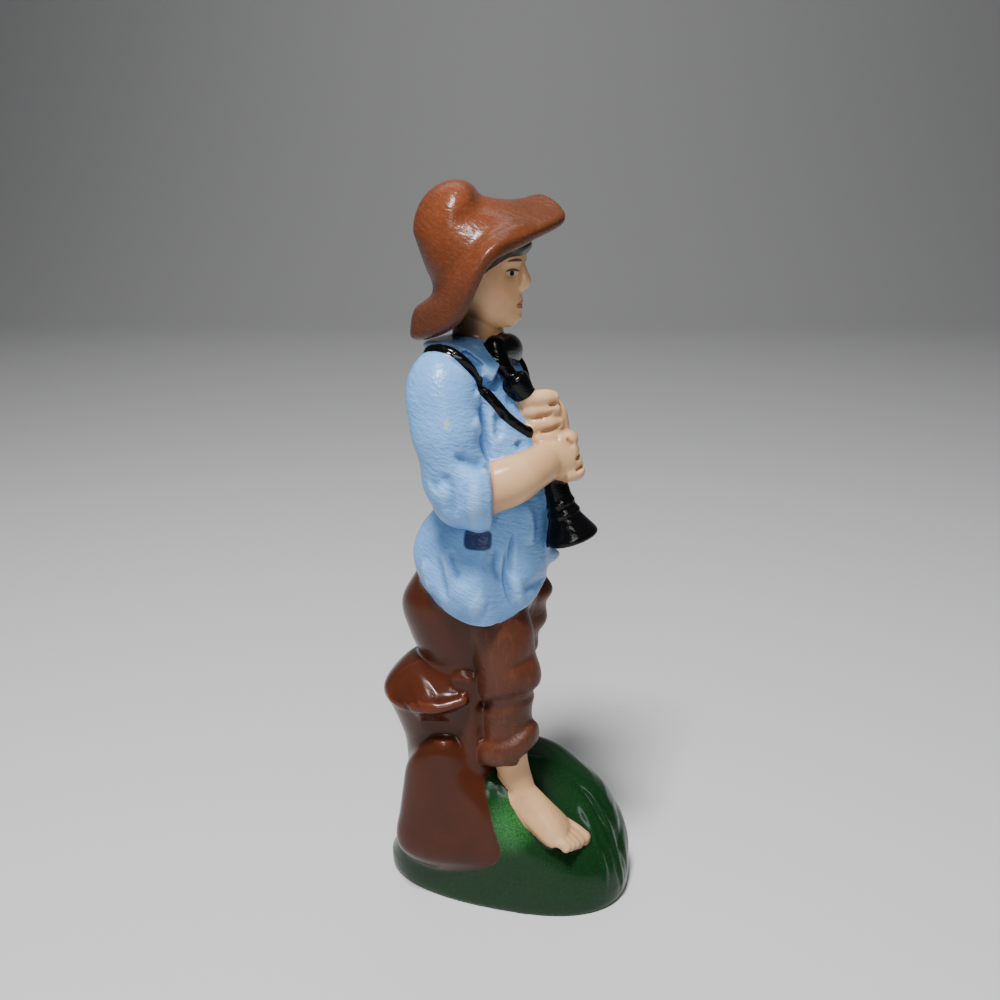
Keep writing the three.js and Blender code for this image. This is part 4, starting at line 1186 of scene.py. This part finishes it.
# Each accent: the paint it lies on, how strong it is at most, and its colour
accents = {
    "hatStreaks": ("hat", 0.3, tint(128, 72, 44)),
    "hatShade": ("hat", 0.75, tint(70, 42, 32)),
    "brimShade": ("hat", 0.5, tint(74, 42, 22)),
    "hatSparkle": ("hat", 0.15, tint(160, 96, 62)),
    "rubbed": ("trousers", 0.3, tint(112, 64, 46)),
    "farFold": ("smock", 0.7, tint(50, 66, 98)),
    "nape": ("skin", 0.85, tint(34, 24, 20)),
    "pearl": ("green", 1.0, tint(70, 150, 76)),
    "pores": ("smock", 0.45, tint(60, 84, 120)),
    "smockEdges": ("smock", 0.35, tint(168, 202, 236)),
    "woodEdges": ("wood", 0.3, tint(120, 58, 36)),
    "wear": ("smock", 0.7, tint(196, 184, 132)),
    "cuffHollow": ("smock", 1.0, tint(42, 56, 98)),
}
# Where single accents lie, and their half sizes, in mm
spots = {
    "pearl": ((-14, -3, 23), (6.5, 6.5, 8)),
    "wear": ((-25.8, 9, 127.6), (2.6, 0.7, 1.1)),
    "cuffHollow": ((-18.6, 4, 99.2), (6, 3.5, 2.5)),
}
# Each touch on the face: how far from its middle line, its height, its half sizes and its colour
faceTouches = {
    "eye": (3.5, 159.3, (1.6, 0.7), tint(186, 172, 158)),
    "iris": (3.5, 159.3, (0.66, 0.66), tint(40, 25, 18)),
    "lid": (3.5, 160.1, (1.9, 0.34), tint(48, 30, 22)),
    "brow": (3.8, 162.3, (2.4, 0.34), tint(50, 34, 26)),
    "lips": (0, 152.1, (2.3, 1.0), tint(170, 98, 80)),
    "mouth": (0, 152.15, (2.2, 0.16), tint(96, 44, 36)),
    "cheek": (5.4, 155.2, (2.8, 2.2), tint(206, 138, 106)),
}


# Patterns stand on the casting's own coordinates, whose wire is handed on as place


def inMillimetres(place, centre, size, turn=(0, 0, 0)):
    settings = {
        "Vector": place, "Location": [each * mm for each in centre], "Rotation": turn,
        "Scale": [each * mm for each in size],
    }
    return place.node("Mapping", {"vector_type": "TEXTURE"}, settings)


def axesOf(vector):
    across = vector.node("SeparateXYZ", {}, {"Vector": vector}, "X")
    return across, across.sibling("Y"), across.sibling("Z")


def grain(place, size, turn=(0, 0, 0), detail=3.0):
    spot = inMillimetres(place, (0, 0, 0), size, turn)
    return place.node("TexNoise", {}, {"Vector": spot, "Scale": 1.0, "Detail": detail, "Roughness": 0.55})


def marked(place, name):
    return place.node("Attribute", {"attribute_name": name}, {}, "Fac")


def touched(place, name, frayed, square):
    across, *others = axesOf(inMillimetres(place, *spots[name]))
    total = across * across
    for own in others:
        total = total + (own * own * own * own if square else own * own)
    return (1.1 - total - frayed).eased(-0.1, 0.6)


def accentMasks(place, speckle, edges):
    sideways, behind, upward = axesOf(inMillimetres(place, (0, 0, 0), (1, 1, 1)))
    bright = inMillimetres(place, *spots["pearl"])
    near = (1.3 - place.node("VectorMath", {"operation": "LENGTH"}, {0: bright}, "Value")).eased(0.0, 0.9)
    return {
        # The hat has streaks of lighter caramel and a sparkling grain, and painted shade makes it darker low
        # down and on its brim
        "hatStreaks": grain(place, (7, 0.7, 0.8), (0.3, 0.2, 0.5)).eased(0.44, 0.68),
        "hatShade": 1.0 - upward.eased(147, 168),
        "brimShade": 1.0 - behind.eased(-4.0, 5.0),
        "hatSparkle": speckle.eased(0.60, 0.75),
        # Thin rubbed streaks of a redder brown run down the trousers
        "rubbed": grain(place, (1.1, 1.1, 6)).eased(0.5, 0.72),
        # Painted shade darkens the far fold beside the bell; the nape and the hair behind the jaw are painted
        # dark, partly as hair and partly as painted shade
        "farFold": sideways.eased(2.0, 5.0) * (0.0 - behind).eased(9.2, 11.0),
        "nape": upward.eased(136, 138) * (1.0 - upward.eased(149, 156)) * behind.eased(3.5, 8.0),
        # Pearl in the green, with a painted sheen that makes it brightest between the root and the foot
        "pearl": (speckle.eased(0.3, 0.8) * 0.5 + 0.3) * (near * 0.8 + 0.1),
        # Pores in the smock's glaze, and paint rubbed thin on the edges of smock and wood
        "pores": 1.0 - grain(place, (0.35, 0.35, 0.35), detail=1.0).eased(0.25, 0.34),
        "smockEdges": edges,
        "woodEdges": edges,
        # The worn spot on the sleeve is round and frayed; the painted shade inside the rolled sleeve is
        # square
        "wear": touched(place, "wear", (grain(place, (0.7, 0.7, 0.7)) - 0.4) * 2.2, False),
        "cuffHollow": touched(place, "cuffHollow", 0.0, True),
    }


def faceMasks(place, skin):
    straight = inMillimetres(place, (*head["axis"], 0), (1, 1, 1), (0, 0, head["turn"]))
    aside, depth, height = axesOf(straight)
    aside = aside.maths("ABSOLUTE", aside, 0)
    onFace = skin * (0.0 - depth).eased(5.5, 7.5)

    def faceSpot(name, arch=0.0):
        middle, level, (wide, high), _ = faceTouches[name]
        across = (aside - middle) * (1 / wide)
        up = (height - level) * (1 / high) + across * across * arch
        return 1.0 - (across * across + up * up)

    eye = onFace * faceSpot("eye").eased(-0.1, 0.15)
    drawn = {
        "cheek": onFace * faceSpot("cheek").eased(-0.6, 1.0) * 0.35,
        "eye": eye,
        "iris": eye * faceSpot("iris").eased(-0.1, 0.2),
    }
    for name, arch in (("lid", 1.1), ("brow", 0.9), ("lips", 0.25), ("mouth", -0.6)):
        drawn[name] = onFace * faceSpot(name, arch).eased(-0.15, 0.25) * 0.9
    return drawn


# Brush marks stand in the varnish, strongest on the smock
def brushMarks(place, masks):
    brushed = grain(place, (3.0, 2.6, 0.8), (0.35, 0, 0), detail=2.0) * 0.7
    brushed = brushed + grain(place, (1.0, 0.9, 0.5), (0.35, 0, 0), detail=1.0) * 0.3
    where = (masks["smock"] + masks["hat"] * 0.5 + masks["trousers"] * 0.4 + masks["gloss"] * 0.5) * 0.9 + 0.1
    return place.node("Bump", {}, {
        "Strength": varnish["bristle"], "Distance": varnish["bristleDepth"] * mm,
        "Height": (brushed - 0.5) * where,
    })


def glazedPaint():
    glaze, shader = newPaint("paintedGlaze")
    place = Wire(glaze.node_tree).node("TexCoord", {}, {}, "Object")
    wobble = (grain(place, (2.2, 2.2, 2.2)) - 0.5) * 0.3
    patches = grain(place, (9, 9, 9), detail=4.0).eased(0.35, 0.65)
    speckle = grain(place, (0.42, 0.42, 0.42), detail=2.0)
    hollow = marked(place, "hollow")
    # Hollows take the deeper paint: partly pooled glaze, partly painted shade
    pooledAndShaded = (0.0 - hollow).eased(0.02, 0.6)

    # Each paint ends in a slightly wavering edge, and the trousers' paint is what the others leave free
    masks = {name: (marked(place, name) + wobble).eased(-0.07, 0.07) for name in paints if name != "trousers"}
    own, deep, rough = paints["trousers"]
    colour = (pooledAndShaded * 0.6 + patches * 0.35).blend(own, deep)
    rough = rough + patches * 0.06
    for name, mask in masks.items():
        own, deep, ownRough = paints[name]
        colour = mask.blend(colour, (pooledAndShaded * 0.4 + patches * 0.3).blend(own, deep))
        rough = rough * (1.0 - mask) + mask * (ownRough + speckle * 0.05)
    masks["trousers"] = 1.0 - sum(masks.values()).eased(0.0, 0.4)

    for name, mask in accentMasks(place, speckle, hollow.eased(0.2, 0.9)).items():
        under, share, shade = accents[name]
        colour = (masks[under] * mask * share).blend(colour, shade)
    for name, mask in faceMasks(place, masks["skin"]).items():
        colour = mask.blend(colour, faceTouches[name][-1])
    place.feed(shader, {
        "Base Color": colour, "Roughness": rough, "Normal": brushMarks(place, masks),
        "Coat Weight": varnish["coat"], "Coat Roughness": varnish["coatRoughness"],
        "Specular IOR Level": varnish["specular"],
    })
    return glaze


body.data.materials.clear()
body.data.materials.append(glazedPaint())
body.name = "shepherdBoy"
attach(body, "root")
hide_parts("shepherd_boy_figurine")
print("paint and varnish are on")
